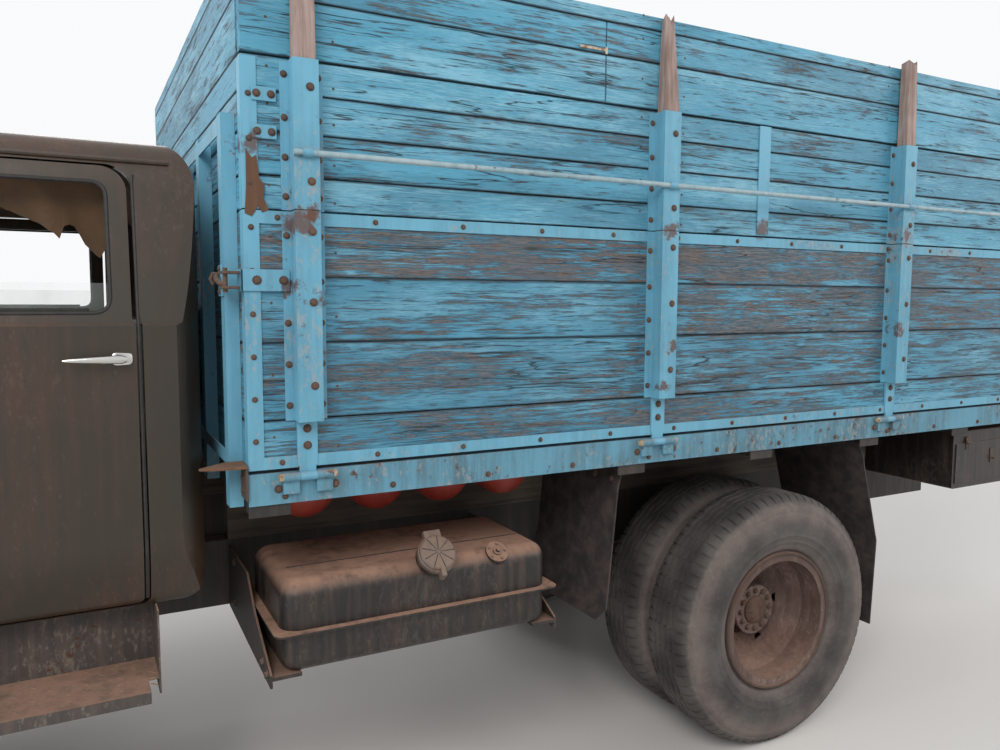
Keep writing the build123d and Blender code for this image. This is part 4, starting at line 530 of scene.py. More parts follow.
class Form:
    # A mesh in the making, in the frame's metres. dress turns it into a piece that rides on a body.
    def __init__(self):
        self.mesh = bmesh.new()

    def skin(self, rows, slot=0, wrap=False, place=None):
        # Joins rows of points, each a closed ring of the same length
        turn = place or Matrix.Identity(4)
        made = [[self.mesh.verts.new(turn @ Vector(point)) for point in row] for row in rows]
        pairs = list(zip(made, made[1:]))
        if wrap:
            pairs.append((made[-1], made[0]))
        count = len(made[0])
        faces = [
            self.mesh.faces.new((a[i], a[(i + 1) % count], b[(i + 1) % count], b[i]))
            for a, b in pairs
            for i in range(count)
        ]
        if not wrap:
            faces += [self.mesh.faces.new(made[0][::-1]), self.mesh.faces.new(made[-1])]
        for face in faces:
            face.material_index = slot

    def block(self, low, high, soft=0.001, slot=0, place=None):
        # A box with bevelled edges
        (x0, y0, z0), (x1, y1, z1) = low, high

        def ring(x, inset):
            a0, a1, b0, b1 = y0 + inset, y1 - inset, z0 + inset, z1 - inset
            return [
                (x, a0 + soft, b0), (x, a1 - soft, b0), (x, a1, b0 + soft), (x, a1, b1 - soft),
                (x, a1 - soft, b1), (x, a0 + soft, b1), (x, a0, b1 - soft), (x, a0, b0 + soft),
            ]

        self.skin([ring(x0, soft), ring(x0 + soft, 0), ring(x1 - soft, 0), ring(x1, soft)], slot, place=place)

    def turned(self, profile, place, steps, slot=0, wrap=False):
        # Profile rows of (along, radius) turned round the Z axis of place
        rows = [[(radius * c, radius * s, along) for c, s in circle(steps)] for along, radius in profile]
        self.skin(rows, slot, wrap, place=place)

    def tube(self, points, radius, steps, slot=0, wrap=False):
        # A round bar through points, closed on itself where wrap is true
        points = [Vector(p) for p in points]
        count = len(points)
        rows = []
        side = None
        for index, point in enumerate(points):
            after = (index + 1) % count if wrap else min(index + 1, count - 1)
            before = index - 1 if wrap else max(index - 1, 0)
            ahead = (points[after] - points[before]).normalized()
            side = (side or ahead.orthogonal()).normalized()
            side = (side - ahead * side.dot(ahead)).normalized()
            other = ahead.cross(side)
            rows.append([point + (side * c + other * s) * radius for c, s in circle(steps)])
        self.skin(rows, slot, wrap)

    def plate(self, corners, thickness, place, slot=0, soft=0.0008):
        # A flat outline in place's XY plane, raised along its Z, with a bevelled upper edge
        corners = [Vector(corner) for corner in corners]
        centre = sum(corners, Vector((0, 0))) / len(corners)
        inset = [corner + (centre - corner).normalized() * soft for corner in corners]
        levels = ((corners, 0), (corners, thickness - soft), (inset, thickness))
        self.skin([[(x, y, z) for x, y in row] for row, z in levels], slot, place=place)

    def bolt(self, place, ahead, size=0.009, height=0.007, slot=0):
        # A six-sided head on a washer
        spot = facing(place, ahead)
        self.turned([(0, size * 1.45), (0.0016, size * 1.4)], spot, 12, slot)
        self.turned([(0, size), (height * 0.75, size), (height, size * 0.72)], spot, 6, slot)

    def plank(self, low, high, along, seed):
        # A plank with eased edges that wander a little along its length, as weather leaves them
        step, soft, wave = 0.075, 0.0022, 0.0016
        reach = high[along] - low[along]
        count = max(4, int(reach / step))
        u, v = (axis for axis in range(3) if axis != along)
        rows = []
        for index in range(count + 1):
            at = low[along] + reach * index / count
            end = index in (0, count)
            ring = []
            edge = soft * (2.2 if end else 1.0)
            corners = [
                (low[u] + edge, low[v]), (high[u] - edge, low[v]), (high[u], low[v] + edge),
                (high[u], high[v] - edge), (high[u] - edge, high[v]), (low[u] + edge, high[v]),
                (low[u], high[v] - edge), (low[u], low[v] + edge),
            ]
            for number, (a, b) in enumerate(corners):
                side = number // 2
                drift = noise.noise(Vector((at * 2.1, seed * 7.3, side * 3.1))) * wave
                chew = noise.noise(Vector((at * 23, seed * 5.1, number * 1.7))) * wave * 0.55
                point = [0, 0, 0]
                point[along] = at + (noise.noise(Vector((number, seed, at))) * 0.003 if end else 0)
                toU = 1 if a < (low[u] + high[u]) / 2 else -1
                toV = 1 if b < (low[v] + high[v]) / 2 else -1
                point[u] = a + toU * abs(drift + chew) * 0.8
                point[v] = b + toV * abs(drift - chew) * 0.8
                ring.append(point)
            rows.append(ring)
        self.skin(rows)

    def dress(self, name, coats, body, stands=(), sharp=34):
        mesh = self.mesh
        bmesh.ops.recalc_face_normals(mesh, faces=mesh.faces)
        crease = math.radians(sharp)
        for face in mesh.faces:
            face.smooth = True
        for edge in mesh.edges:
            edge.smooth = len(edge.link_faces) == 2 and edge.calc_face_angle(0) < crease
        data = bpy.data.meshes.new(name)
        mesh.to_mesh(data)
        mesh.free()
        for coat in coats:
            data.materials.append(finishes[coat])
        piece = bpy.data.objects.new(name, data)
        bpy.context.scene.collection.objects.link(piece)
        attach(piece, body)
        if stands:
            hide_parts(*stands)
        return piece


# Planks of the drop boards and the front wall, each with its own seed
boards = {
    "bands": (
        (1.380, 1.518, 1.743, 1.933, 2.118),
        (2.122, 2.218, 2.340, 2.450, 2.545),
        (2.549, 2.710, 2.822, 2.870),
    ),
    "gap": 0.0022,
    "sideEnds": (-3.429, 0.820),
    "topJoints": (-1.957, -0.400),
    "tailHalf": 1.188,
    "tailFaces": (-3.479, -3.439),
    "wallFaces": (0.784, 0.824),
    "wallHalf": 1.146,
    "wallFoot": 1.364,
    "throughPlank": 2.8,
    "stakeLoss": (0.15, 1.0, 0.35, 0.2),
    "stakeHalf": 0.031,
    "stakeFaces": (0.0045, 0.0537),
    "stakeTop": 2.904,
    "stakeFoot": 1.870,
}


def plankBands(form, values, low, high, along, cuts, seed):
    # Rows of planks between two corners; cuts are joints along the top planks
    for level, edges in enumerate(values["bands"]):
        for z0, z1 in zip(edges, edges[1:]):
            joints = cuts if level == 2 and z0 < values["throughPlank"] else ()
            stops = [low[along], *joints, high[along]]
            for a, b in zip(stops, stops[1:]):
                seed += 1
                start, end = list(low), list(high)
                start[along] = a + (values["gap"] if a > low[along] else 0)
                end[along] = b - (values["gap"] if b < high[along] else 0)
                start[2], end[2] = z0 + values["gap"] / 2, z1 - values["gap"] / 2
                form.plank(start, end, along, seed)


def stake(form, foot, high, seed, broken):
    # A bare timber stake; broken is how much of its head has split away
    (x0, y0, z0), (x1, y1, z1) = foot, high
    splitFrom = 2.56
    rows = []
    for z in (z0 + (z1 - z0) * i / 22 for i in range(23)):
        loss = broken * max(0.0, (z - splitFrom) / (z1 - splitFrom))
        wobble = [noise.noise(Vector((z * 6, seed, k))) * 0.0015 for k in range(8)]
        a0, a1 = x0 + loss * 0.016, x1 - loss * 0.010
        b0, b1 = y0 + loss * 0.004, y1 - loss * 0.020
        e = 0.003
        ring = [
            (a0 + e, b0), (a1 - e, b0), (a1, b0 + e), (a1, b1 - e),
            (a1 - e, b1), (a0 + e, b1), (a0, b1 - e), (a0, b0 + e),
        ]
        ragged = noise.noise(Vector((seed, z, 1))) * 0.006
        heights = [z - (k % 3) * (0.005 + broken * 0.012) + ragged if z == z1 else z for k in range(8)]
        rows.append([
            (x + wobble[k] * 0.6, y - abs(wobble[k]), heights[k]) for k, (x, y) in enumerate(ring)
        ])
    form.skin(rows)


def addSideBoard(values, side, body):
    face, half = truck["boardFaceY"], values["stakeHalf"]
    x0, x1 = values["sideEnds"]
    s0, s1 = values["stakeFaces"]
    low, high = sideBox(x0, x1, side, truck["boardInnerY"], face, 0, 0)
    form = Form()
    plankBands(form, values, low, high, 0, values["topJoints"], 100 * side)
    form.dress(f"{body}_boards", ["planksX"], body, [f"{body}_planks"])
    form = Form()
    for number, x in enumerate(truck["postXs"]):
        broken = values["stakeLoss"][number] if side > 0 else 0.2
        top = values["stakeTop"] - broken * 0.03
        foot, head = sideBox(x - half, x + half, side, face + s0, face + s1, values["stakeFoot"], top)
        stake(form, foot, head, number + side * 9, broken)
    form.dress(f"{body}_stakes", ["stake"], body)


def addTailboard(values):
    wide, half = values["tailHalf"], values["stakeHalf"]
    x0, x1 = values["tailFaces"]
    s0, s1 = values["stakeFaces"]
    form = Form()
    plankBands(form, values, (x0, -wide, 0), (x1, wide, 0), 1, (), 300)
    form.dress("tailboard_boards", ["planksY"], "tailboard", ["tailboard_planks"])
    form = Form()
    for number, y in enumerate(truck["tailPostYs"]):
        foot = (x0 - s1, y - half, values["stakeFoot"])
        stake(form, foot, (x0 - s0, y + half, values["stakeTop"]), 40 + number, 0.1)
    form.dress("tailboard_stakes", ["stake"], "tailboard")


def addFrontWall(values):
    wide, gap = values["wallHalf"], values["gap"] / 2
    x0, x1 = values["wallFaces"]
    edges = (values["wallFoot"], *plankJoints, values["bands"][-1][-1])
    form = Form()
    for number, (z0, z1) in enumerate(zip(edges, edges[1:])):
        form.plank((x0, -wide, z0 + gap), (x1, wide, z1 - gap), 1, 400 + number)
    form.dress("front_wall_boards", ["planksY"], "chassis", ["front_wall_planks"])


def addBoards(values):
    for side, label in sides:
        addSideBoard(values, side, f"{label}_board")
    addTailboard(values)
    addFrontWall(values)
    print("planks and stakes")


# Tyres: worn road tread with zigzag ribs and notched shoulders, ringed sidewalls
tyres = {
    "pitches": 72,
    "clusters": (0.0, 0.05, 0.20, 0.25),
    "grooveDepth": 0.008,
    "shoulderDepth": 0.007,
    "zigzag": 0.0035,
    "frontY": 0.900,
    "rearYs": (0.775, 1.085),
    "crease": 38,
}


def tyreProfile(values):
    # Rows of (distance from the middle, radius, groove or notch depth, zigzag share) for one half
    deep = values["grooveDepth"]
    notch = values["shoulderDepth"]
    tread = [
        (0.0, 0.5350, 0, 0), (0.010, 0.5350, 0, 1), (0.0135, 0.5350 - deep, 0, 1),
        (0.0195, 0.5350 - deep, 0, 1), (0.0230, 0.5349, 0, 1), (0.0420, 0.5348, 0, 1),
        (0.0455, 0.5348 - deep, 0, 1), (0.0530, 0.5346 - deep, 0, 1), (0.0565, 0.5345, 0, 1),
        (0.0640, 0.5344, 0, 0),
        (0.0715, 0.5342, notch * 0.7, 0), (0.0850, 0.5305, notch, 0), (0.0960, 0.5262, notch, 0),
        (0.1030, 0.5215, notch, 0), (0.1100, 0.5130, notch * 0.8, 0), (0.1150, 0.5050, notch * 0.3, 0),
    ]
    wall = [
        (0.1195, 0.4960), (0.1200, 0.4920), (0.1235, 0.4890), (0.1262, 0.4780), (0.1290, 0.4700),
        (0.1283, 0.4670), (0.1305, 0.4600), (0.1340, 0.4430), (0.1362, 0.4250), (0.1372, 0.4050),
        (0.1360, 0.3850), (0.1342, 0.3700), (0.1352, 0.3670), (0.1332, 0.3630), (0.1305, 0.3520),
        (0.1268, 0.3420), (0.1275, 0.3390), (0.1225, 0.3330), (0.1165, 0.3190), (0.1108, 0.3065),
        (0.1030, 0.3010), (0.0955, 0.2960), (0.0950, 0.2626),
    ]
    return tread + [(along, radius, 0, 0) for along, radius in wall]


def tyreRing(form, values, axleX, middle):
    half = tyreProfile(values)
    rows = half + [(-a, r, n, z) for a, r, n, z in reversed(half[1:])]
    pitches = values["pitches"]
    points = []
    for pitch in range(pitches):
        for number, share in enumerate(values["clusters"]):
            angle = math.tau * (pitch + share) / pitches
            notched = number in (1, 2)
            sway = values["zigzag"] * (1 if (pitch + (number > 1)) % 2 else -1)
            points.append((math.sin(angle), math.cos(angle), notched, sway))
    made = []
    for along, radius, notch, zigzag in rows:
        ring = []
        for s, c, notched, sway in points:
            r = radius - (notch if notched else 0)
            ring.append((axleX + r * s, middle + along + sway * zigzag, truck["wheelZ"] + r * c))
        made.append(ring)
    form.skin(made, wrap=True)


def addTyres(values):
    for side, label in sides:
        form = Form()
        tyreRing(form, values, truck["frontAxleX"], side * values["frontY"])
        body, node = f"front_{label}_wheel", f"front_{label}_tyre"
        form.dress(f"front_{label}_tread", ["frontTyre"], body, [node], values["crease"])
        form = Form()
        for y in values["rearYs"]:
            tyreRing(form, values, truck["rearAxleX"], side * y)
        body, node = f"rear_{label}_wheels", f"rear_{label}_tyres"
        form.dress(f"rear_{label}_treads", ["rearTyre"], body, [node], values["crease"])
    print("tyres")


addBoards(boards)
addTyres(tyres)


# Ironwork that the boards carry: bolts, nails, straps, plates, rod and latch
fittings = {
    "skin": 0.004,
    "flangeOut": 0.049,
    "flangeBolt": (0.0072, 0.006),
    "flangeZs": (1.56, 1.68, 1.80, 1.92, 2.05, 2.16, 2.27, 2.38, 2.50),
    "webZs": (1.62, 1.86, 2.06, 2.20, 2.46),
    "webOut": 0.058,
    "webBolt": (0.0085, 0.006),
    "strapZs": (1.44, 1.49),
    "strapBolt": (0.009, 0.008),
    "trimZs": (1.394, 2.100),
    "trimXs": (-3.36, 0.292, 15),
    "trimYs": (-1.10, 0.275, 9),
    "endXs": (-3.410, 0.802),
    "endZs": (1.46, 0.122, 9),
    "trimBolt": (0.006, 0.005),
    "nailOut": 0.095,
    "nail": ((0, 0.0042), (0.0012, 0.0036)),
    "rodRadius": 0.0087,
    "rodZ": 2.278,
    "rodOut": 0.064,
    "rodXs": (-3.302, 0.19975, 21),
    "plateXs": (0.760, -3.372),
    "plateZs": (2.335, 2.438),
    "plateHalf": (0.034, 0.019),
    "plateBolt": (0.008, 0.006),
    "latchZ": 1.922,
    "latchHalf": 0.031,
    "latchXs": (0.697, 0.834),
    "latchBoltXs": (0.715, 0.790),
    "latchBolt": (0.0095, 0.007),
    "pinX": 0.872,
    "lever": ((0, 0.016, -0.012), (0.008, 0.045, -0.010), (0.012, 0.085, 0), (0.010, 0.110, 0.012)),
    "hook": ((0.869, 0.018), (0.890, 0.020), (0.896, 0.004), (0.889, -0.010)),
    "clip": ((-0.396, -0.290, 2.7190, 2.7275), (-0.404, -0.394, 2.7100, 2.7340)),
    "tornPlate": (
        (0.812, 2.285), (0.796, 2.262), (0.783, 2.270), (0.776, 2.205), (0.762, 2.190), (0.765, 2.150),
        (0.752, 2.120), (0.770, 2.112), (0.781, 2.128), (0.799, 2.100), (0.818, 2.108), (0.813, 2.180),
    ),
}


def plankRows(values):
    return [(a + b) / 2 for edges in values["bands"] for a, b in zip(edges, edges[1:])]


def addBoardBolts(values, side, body):
    # Bolts through the posts and trims, and nails beside the posts
    face = truck["boardFaceY"]
    skin = side * (face + values["skin"])
    out = (0, side, 0)
    bolts = Form()
    nails = Form()
    for x in truck["postXs"]:
        for z in values["flangeZs"]:
            for way in ways:
                bolts.bolt((x + way * values["flangeOut"], skin, z), out, *values["flangeBolt"])
        for z in values["webZs"]:
            bolts.bolt((x - 0.012, side * (face + values["webOut"]), z), out, *values["webBolt"])
        for z in plankRows(boards):
            for way in ways:
                spot = (x + way * values["nailOut"], side * (face - 0.0004), z + 0.02 * way)
                nails.turned(values["nail"], facing(spot, out), 8)
        for z in values["strapZs"]:
            bolts.bolt((x, side * (face + 0.008), z), out, *values["strapBolt"])
    spots = [(x, z) for x in spaced(*values["trimXs"]) for z in values["trimZs"]]
    spots += [(x, z) for x in values["endXs"] for z in spaced(*values["endZs"])]
    for x, z in spots:
        bolts.bolt((x, skin, z), out, *values["trimBolt"])
    bolts.dress(f"{body}_bolts", ["bolt"], body)
    nails.dress(f"{body}_nails", ["bolt"], body)


def addRod(values, side, body):
    rod = Form()
    y, z = side * (truck["boardFaceY"] + values["rodOut"]), values["rodZ"]
    rod.tube([(x, y, z) for x in spaced(*values["rodXs"])], values["rodRadius"], 12)
    for x in truck["postXs"]:
        rod.turned([(0, 0.0125), (0.028, 0.0125)], facing((x - 0.014, y, z), (1, 0, 0)), 14, 1)
    rod.dress(f"{body}_rod", ["rod", "bodySteel"], body)


def addStraps(values, side, body):
    # Corner plates and the latch that ties the board to the front wall
    face = truck["boardFaceY"]
    skin = face + values["skin"]
    out = (0, side, 0)
    plates = Form()
    wide, tall = values["plateHalf"]
    for x in values["plateXs"]:
        for z in values["plateZs"]:
            plates.block(*sideBox(x - wide, x + wide, side, skin, skin + 0.005, z - tall, z + tall))
            for way in ways:
                spot = (x + way * 0.020, side * (skin + 0.005), z)
                plates.bolt(spot, out, *values["plateBolt"], slot=1)
    z, half, (x0, x1), pinX = (values[key] for key in ("latchZ", "latchHalf", "latchXs", "pinX"))
    outer = skin + 0.0065
    plates.block(*sideBox(x0, x1, side, skin + 0.0005, outer, z - half, z + half), 0.0015)
    plates.block(*sideBox(x1 - 0.0065, x1, side, face - 0.052, outer, z - half, z + half), 0.0015)
    for x in values["latchBoltXs"]:
        plates.bolt((x, side * outer, z), out, *values["latchBolt"], slot=1)
    for up in (-0.021, 0.021):
        box = sideBox(x1, x1 + 0.050, side, face - 0.035, face + 0.002, z + up - 0.004, z + up + 0.004)
        plates.block(*box, slot=1)
    pin = facing((pinX, side * (face - 0.016), z), (0, 0, 1))
    plates.turned([(-0.034, 0.0068), (0.034, 0.0068)], pin, 12, 1)
    plates.tube([(pinX + a, side * (face - b), z + c) for a, b, c in values["lever"]], 0.008, 10, 1)
    plates.dress(f"{body}_straps", ["bodySteel", "bolt"], body)


def addLeftOddments(values):
    # A torn plate near the front corner and a clip on a top plank
    face = truck["boardFaceY"]
    torn = Form()
    torn.plate(values["tornPlate"], 0.002, sideFace((0, face + values["skin"] + 0.0006, 0), 1))
    torn.dress("torn_plate", ["rustPlate"], "left_board")
    clip = Form()
    for x0, x1, z0, z1 in values["clip"]:
        clip.block((x0, face + 0.0012, z0), (x1, face + 0.0045, z1))
    clip.dress("plank_clip", ["cream"], "left_board")


def addKeepers(values):
    # What the latches hook on, on the front wall
    keeper = Form()
    z = values["latchZ"]
    for side in (1, -1):
        keeper.block(*sideBox(0.8645, 0.871, side, 1.052, 1.108, z - 0.045, z + 0.045))
        keeper.tube([(x, side * 1.075, z + up) for x, up in values["hook"]], 0.006, 10, 1)
        for up in (-0.032, 0.034):
            keeper.bolt((0.871, side * 1.080, z + up), (1, 0, 0), 0.007, 0.006, slot=1)
    keeper.dress("latch_keepers", ["bodySteel", "bolt"], "chassis")


def addTailBolts(values):
    tail = Form()
    back = (-1, 0, 0)
    face = truck["tailFaceX"]
    skin = face - values["skin"]
    for y in truck["tailPostYs"]:
        for z in values["flangeZs"]:
            for way in ways:
                tail.bolt((skin, y + way * values["flangeOut"], z), back, *values["flangeBolt"])
        for z in plankRows(boards):
            for way in ways:
                spot = (face + 0.0004, y + way * values["nailOut"], z + 0.02 * way)
                tail.turned(values["nail"], facing(spot, back), 8)
    for y in spaced(*values["trimYs"]):
        for z in values["trimZs"]:
            tail.bolt((skin, y, z), back, *values["trimBolt"])
    tail.dress("tailboard_bolts", ["bolt"], "tailboard")


def addFittings(values):
    for side, label in sides:
        body = f"{label}_board"
        addBoardBolts(values, side, body)
        addRod(values, side, body)
        addStraps(values, side, body)
    addLeftOddments(values)
    addKeepers(values)
    addTailBolts(values)
    print("board fittings")


# Sill ironwork: hinge pin heads, flange bolts and the leaf-shaped corner plates
sills = {
    "hingeZ": 1.350,
    "hingeOut": 1.204,
    "tailHingeX": -3.49105,
    "pinReach": 0.074,
    "pinHead": ((0, 0.0125), (0.006, 0.0125), (0.012, 0.009)),
    "faceY": 1.190,
    "hingeBolt": (0.085, 1.315, 0.009, 0.008),
    "lowerXs": (-3.30, 0.335, 13),
    "lowerBolt": (1.292, 0.007, 0.006),
    "leaf": (
        (0.826, -0.085), (0.868, -0.072), (0.905, -0.045), (0.957, 0.0),
        (0.930, 0.016), (0.880, 0.026), (0.826, 0.030),
    ),
    "leafY": 1.178,
    "leafZ": 1.386,
    "bracketXs": (0.8255, 0.8330),
    "bracketYs": (1.120, 1.200),
    "bracketFoot": 1.290,
    "bracketBolts": (1.315, 1.352),
}


def addSillWork(values):
    form = Form()
    hingeZ, reach, head = values["hingeZ"], values["pinReach"], values["pinHead"]
    aside, boltZ, *hingeBolt = values["hingeBolt"]
    lowerZ, *lowerBolt = values["lowerBolt"]
    for side in (1, -1):
        out = (0, side, 0)
        for x in truck["postXs"]:
            for way in ways:
                spot = (x + way * reach, side * values["hingeOut"], hingeZ)
                form.turned(head, facing(spot, (way, 0, 0)), 12, 1)
                form.bolt((x + way * aside, side * values["faceY"], boltZ), out, *hingeBolt)
        for x in spaced(*values["lowerXs"]):
            form.bolt((x, side * values["faceY"], lowerZ), out, *lowerBolt)
        corners = [(x, side * (values["leafY"] + y)) for x, y in values["leaf"]]
        form.plate(corners, 0.007, Matrix.Translation((0, 0, values["leafZ"])), slot=2)
        (x0, x1), (y0, y1) = values["bracketXs"], values["bracketYs"]
        form.block(*sideBox(x0, x1, side, y0, y1, values["bracketFoot"], values["leafZ"]))
        for z in values["bracketBolts"]:
            form.bolt((x1, side * (y0 + y1) / 2, z), (1, 0, 0))
    for y in truck["tailPostYs"]:
        for way in ways:
            form.turned(head, facing((values["tailHingeX"], y + way * reach, hingeZ), (0, way, 0)), 12, 1)
    form.dress("sill_work", ["bolt", "pinPaint", "rustPlate"], "chassis")
    print("sill ironwork")


# Wheel fixings: nuts on the discs, bolts on the hubs and the rims' lock rings
wheelFixings = {
    "nuts": 10,
    "nutRing": (0.945, 0.125),
    "nut": (0.0165, 0.024),
    "studY": 0.967,
    "stud": ((0, 0.009), (0.014, 0.009), (0.017, 0.006)),
    "hubBolts": 12,
    "hubRing": (1.055, 0.083),
    "hubBolt": (0.0095, 0.012),
    "hubCap": ((0, 0.062), (0.010, 0.060), (0.016, 0.050), (0.024, 0.030)),
    "lockRing": ((1.1935, 0.292), (1.1975, 0.289), (1.1975, 0.280), (1.1935, 0.277)),
    "frontRing": (0.976, 0.086),
    "frontNut": (0.0125, 0.020),
    "frontCapY": 1.022,
    "frontCap": ((0, 0.046), (0.008, 0.044), (0.013, 0.030)),
}


def boltRing(form, x, side, ring, count, bolt, start=0.0):
    # Bolts in a ring on a wheel; returns their places
    y, radius = ring
    z = truck["wheelZ"]
    spots = [(x + radius * c, side * y, z + radius * s) for c, s in circle(count, start)]
    for spot in spots:
        form.bolt(spot, (0, side, 0), *bolt)
    return spots


def addWheelFixings(values):
    z = truck["wheelZ"]
    for side, label in sides:
        ahead = (0, side, 0)
        form = Form()
        x = truck["rearAxleX"]
        for spot in boltRing(form, x, side, values["nutRing"], values["nuts"], values["nut"], 0.5):
            form.turned(values["stud"], facing((spot[0], side * values["studY"], spot[2]), ahead), 10)
        boltRing(form, x, side, values["hubRing"], values["hubBolts"], values["hubBolt"])
        form.turned(values["hubCap"], facing((x, side * values["hubRing"][0], z), ahead), 28)
        form.turned(values["lockRing"], facing((x, 0, z), ahead), 64, 0, True)
        form.dress(f"rear_{label}_fixings", ["hub"], f"rear_{label}_wheels")
        form = Form()
        x = truck["frontAxleX"]
        boltRing(form, x, side, values["frontRing"], values["nuts"], values["frontNut"])
        form.turned(values["frontCap"], facing((x, side * values["frontCapY"], z), ahead), 24)
        form.dress(f"front_{label}_fixings", ["hub"], f"front_{label}_wheel")
    print("wheel fixings")


# Tank furniture: filler cap with its latch, level sender, fold of the top sheet and bracket bolts
tankParts = {
    "cap": (0.22905, 1.1790, 1.0461),
    "capTilt": 48,
    "capFace": ((0, 0.062), (0.006, 0.061), (0.010, 0.056), (0.011, 0.040), (0.012, 0.004)),
    "capSkirt": ((-0.022, 0.064), (-0.018, 0.066), (-0.004, 0.066), (0, 0.062)),
    "capLines": 9,
    "sender": (-0.01395, 1.1354, 1.0049),
    "senderTilt": 42,
    "senderTop": ((0, 0.016), (0.004, 0.015), (0.006, 0.008), (0.014, 0.006)),
    "senderRing": (5, 0.030),
    "bracketXs": (-0.25295, 0.76505),
    "bracketBolts": ((1.030, 0.728), (1.096, 0.714), (0.560, 0.915), (0.560, 0.760)),
    "foldXs": (-0.165, 0.300, 0.678),
    "foldY": 0.994,
    "foldZ": 1.0095,
}


def tilted(place, degrees):
    angle = math.radians(degrees)
    return facing(place, (0, math.sin(angle), math.cos(angle)))


def addTankParts(values):
    form = Form()
    cap = tilted(values["cap"], values["capTilt"])
    form.turned(values["capFace"], cap, 48)
    form.turned(values["capSkirt"], cap, 48)
    for index in range(values["capLines"]):
        turn = cap @ Matrix.Rotation(math.tau * index / values["capLines"], 4, "Z")
        form.block((0.006, -0.0011, 0.008), (0.055, 0.0011, 0.0122), 0.0004, 1, turn)
    form.block((-0.030, 0.052, -0.016), (0.030, 0.082, 0.004), 0.002, 0, cap)
    form.block((-0.009, -0.084, -0.026), (0.009, -0.052, 0.010), 0.002, 0, cap)
    form.turned([(-0.014, 0.005), (0.014, 0.005)], cap @ facing((0, 0.078, -0.006), (1, 0, 0)), 10)
    form.dress("tank_cap", ["cap", "seal"], "chassis")
    form = Form()
    sender = tilted(values["sender"], values["senderTilt"])
    count, radius = values["senderRing"]
    for c, s in circle(count):
        form.bolt(sender @ Vector((radius * c, radius * s, 0)), sender.col[2].xyz, 0.0045, 0.004)
    form.turned(values["senderTop"], sender, 18)
    form.tube([(x, values["foldY"], values["foldZ"]) for x in values["foldXs"]], 0.0026, 8, 1)
    for x in values["bracketXs"]:
        for y, z in values["bracketBolts"]:
            form.bolt((x, y, z), (math.copysign(1, x), 0, 0), 0.011, 0.009)
    form.dress("tank_fittings", ["tank", "seal"], "chassis")
    print("tank furniture")


addFittings(fittings)
addSillWork(sills)
addWheelFixings(wheelFixings)
addTankParts(tankParts)


# Cab trim: handles, seals, gaskets, rain rails and wipers
cabTrim = {
    "handle": (1.136, 1.0505, 1.700),
    "handleReach": 0.147,
    "handlePlate": (
        (-0.028, -0.016, 0.012), (0.026, -0.019, 0.016), (0.026, 0.019, 0.016), (-0.028, 0.016, 0.012),
    ),
    "window": ((1.157, 1.827, 0.048), (1.157, 2.196, 0.042), (1.714, 2.196, 0.030), (1.790, 1.827, 0.030)),
    "windowLip": (1.016, 1.026, 1.823, 1.842),
    "crank": (1.52, 1.42),
    "latch": (1.24, 1.55),
    "seamX": 1.088,
    "seamZs": (0.990, 0.0308, 41),
    "sideRows": (
        (0.990, 1.013), (1.060, 1.035), (1.115, 1.049), (1.780, 1.049), (1.802, 1.041), (2.225, 0.975),
    ),
    "screen": ((-0.800, 0.002, 0.07), (0.800, 0.002, 0.07), (0.745, 0.594, 0.06), (-0.745, 0.594, 0.06)),
    "screenFoot": (2.0357, 1.672),
    "screenLean": (-0.2635, 0.9647),
    "rearWindow": ((-0.520, 1.850, 0.05), (0.520, 1.850, 0.05), (0.520, 2.140, 0.05), (-0.520, 2.140, 0.05)),
    "rearX": 0.9195,
    "railZ": 2.262,
    "railXs": (0.99, 1.13, 1.27, 1.41, 1.55, 1.69, 1.78),
    "wiperYs": (-0.52, 0.18),
    "wiperZ": 1.648,
    "wiperFoot": ((-0.004, 0.017), (0.010, 0.015), (0.022, 0.010), (0.030, 0.008)),
    "wiperReach": 0.17,
}


def rounded(corners, steps, inset=0.0):
    # A closed outline from corners of (a, b, radius), drawn inset towards its middle
    middle = sum((Vector((a, b)) for a, b, _ in corners), Vector((0, 0))) / len(corners)
    points = []
    for index, (a, b, radius) in enumerate(corners):
        here = Vector((a, b))
        before, after = (Vector(corners[(index + way) % len(corners)][:2]) for way in (-1, 1))
        start = here + (before - here).normalized() * radius
        end = here + (after - here).normalized() * radius
        for step in range(steps + 1):
            t = step / steps
            spot = start.lerp(here, t).lerp(here.lerp(end, t), t)
            points.append(spot + (middle - spot).normalized() * inset)
    return points


def sideOut(z):
    # How far out the cab's side wall stands at height z
    rows = cabTrim["sideRows"]
    for (lowZ, low), (highZ, high) in zip(rows, rows[1:]):
        if z <= highZ:
            return low + (high - low) * max(0, z - lowZ) / (highZ - lowZ)
    return rows[-1][1]


def castOn(node, origin, ahead):
    # The point of a CAD node's surface that a ray from origin meets first
    item = nodes[node]
    inverse = item.matrix_world.inverted()
    hit, point, normal, _ = item.ray_cast(inverse @ Vector(origin), inverse.to_3x3() @ Vector(ahead))
    if not hit:
        raise ValueError(f"nothing of {node} at {tuple(origin)}")
    return item.matrix_world @ point, (item.matrix_world.to_3x3() @ normal).normalized()


def onScreen(values, y, rise, out):
    # A place on the sloping windscreen, by its height along the glass and its distance from it
    (footX, footZ), (leanX, leanZ) = values["screenFoot"], values["screenLean"]
    return Vector((footX + leanX * rise + leanZ * out, y, footZ + leanZ * rise - leanX * out))


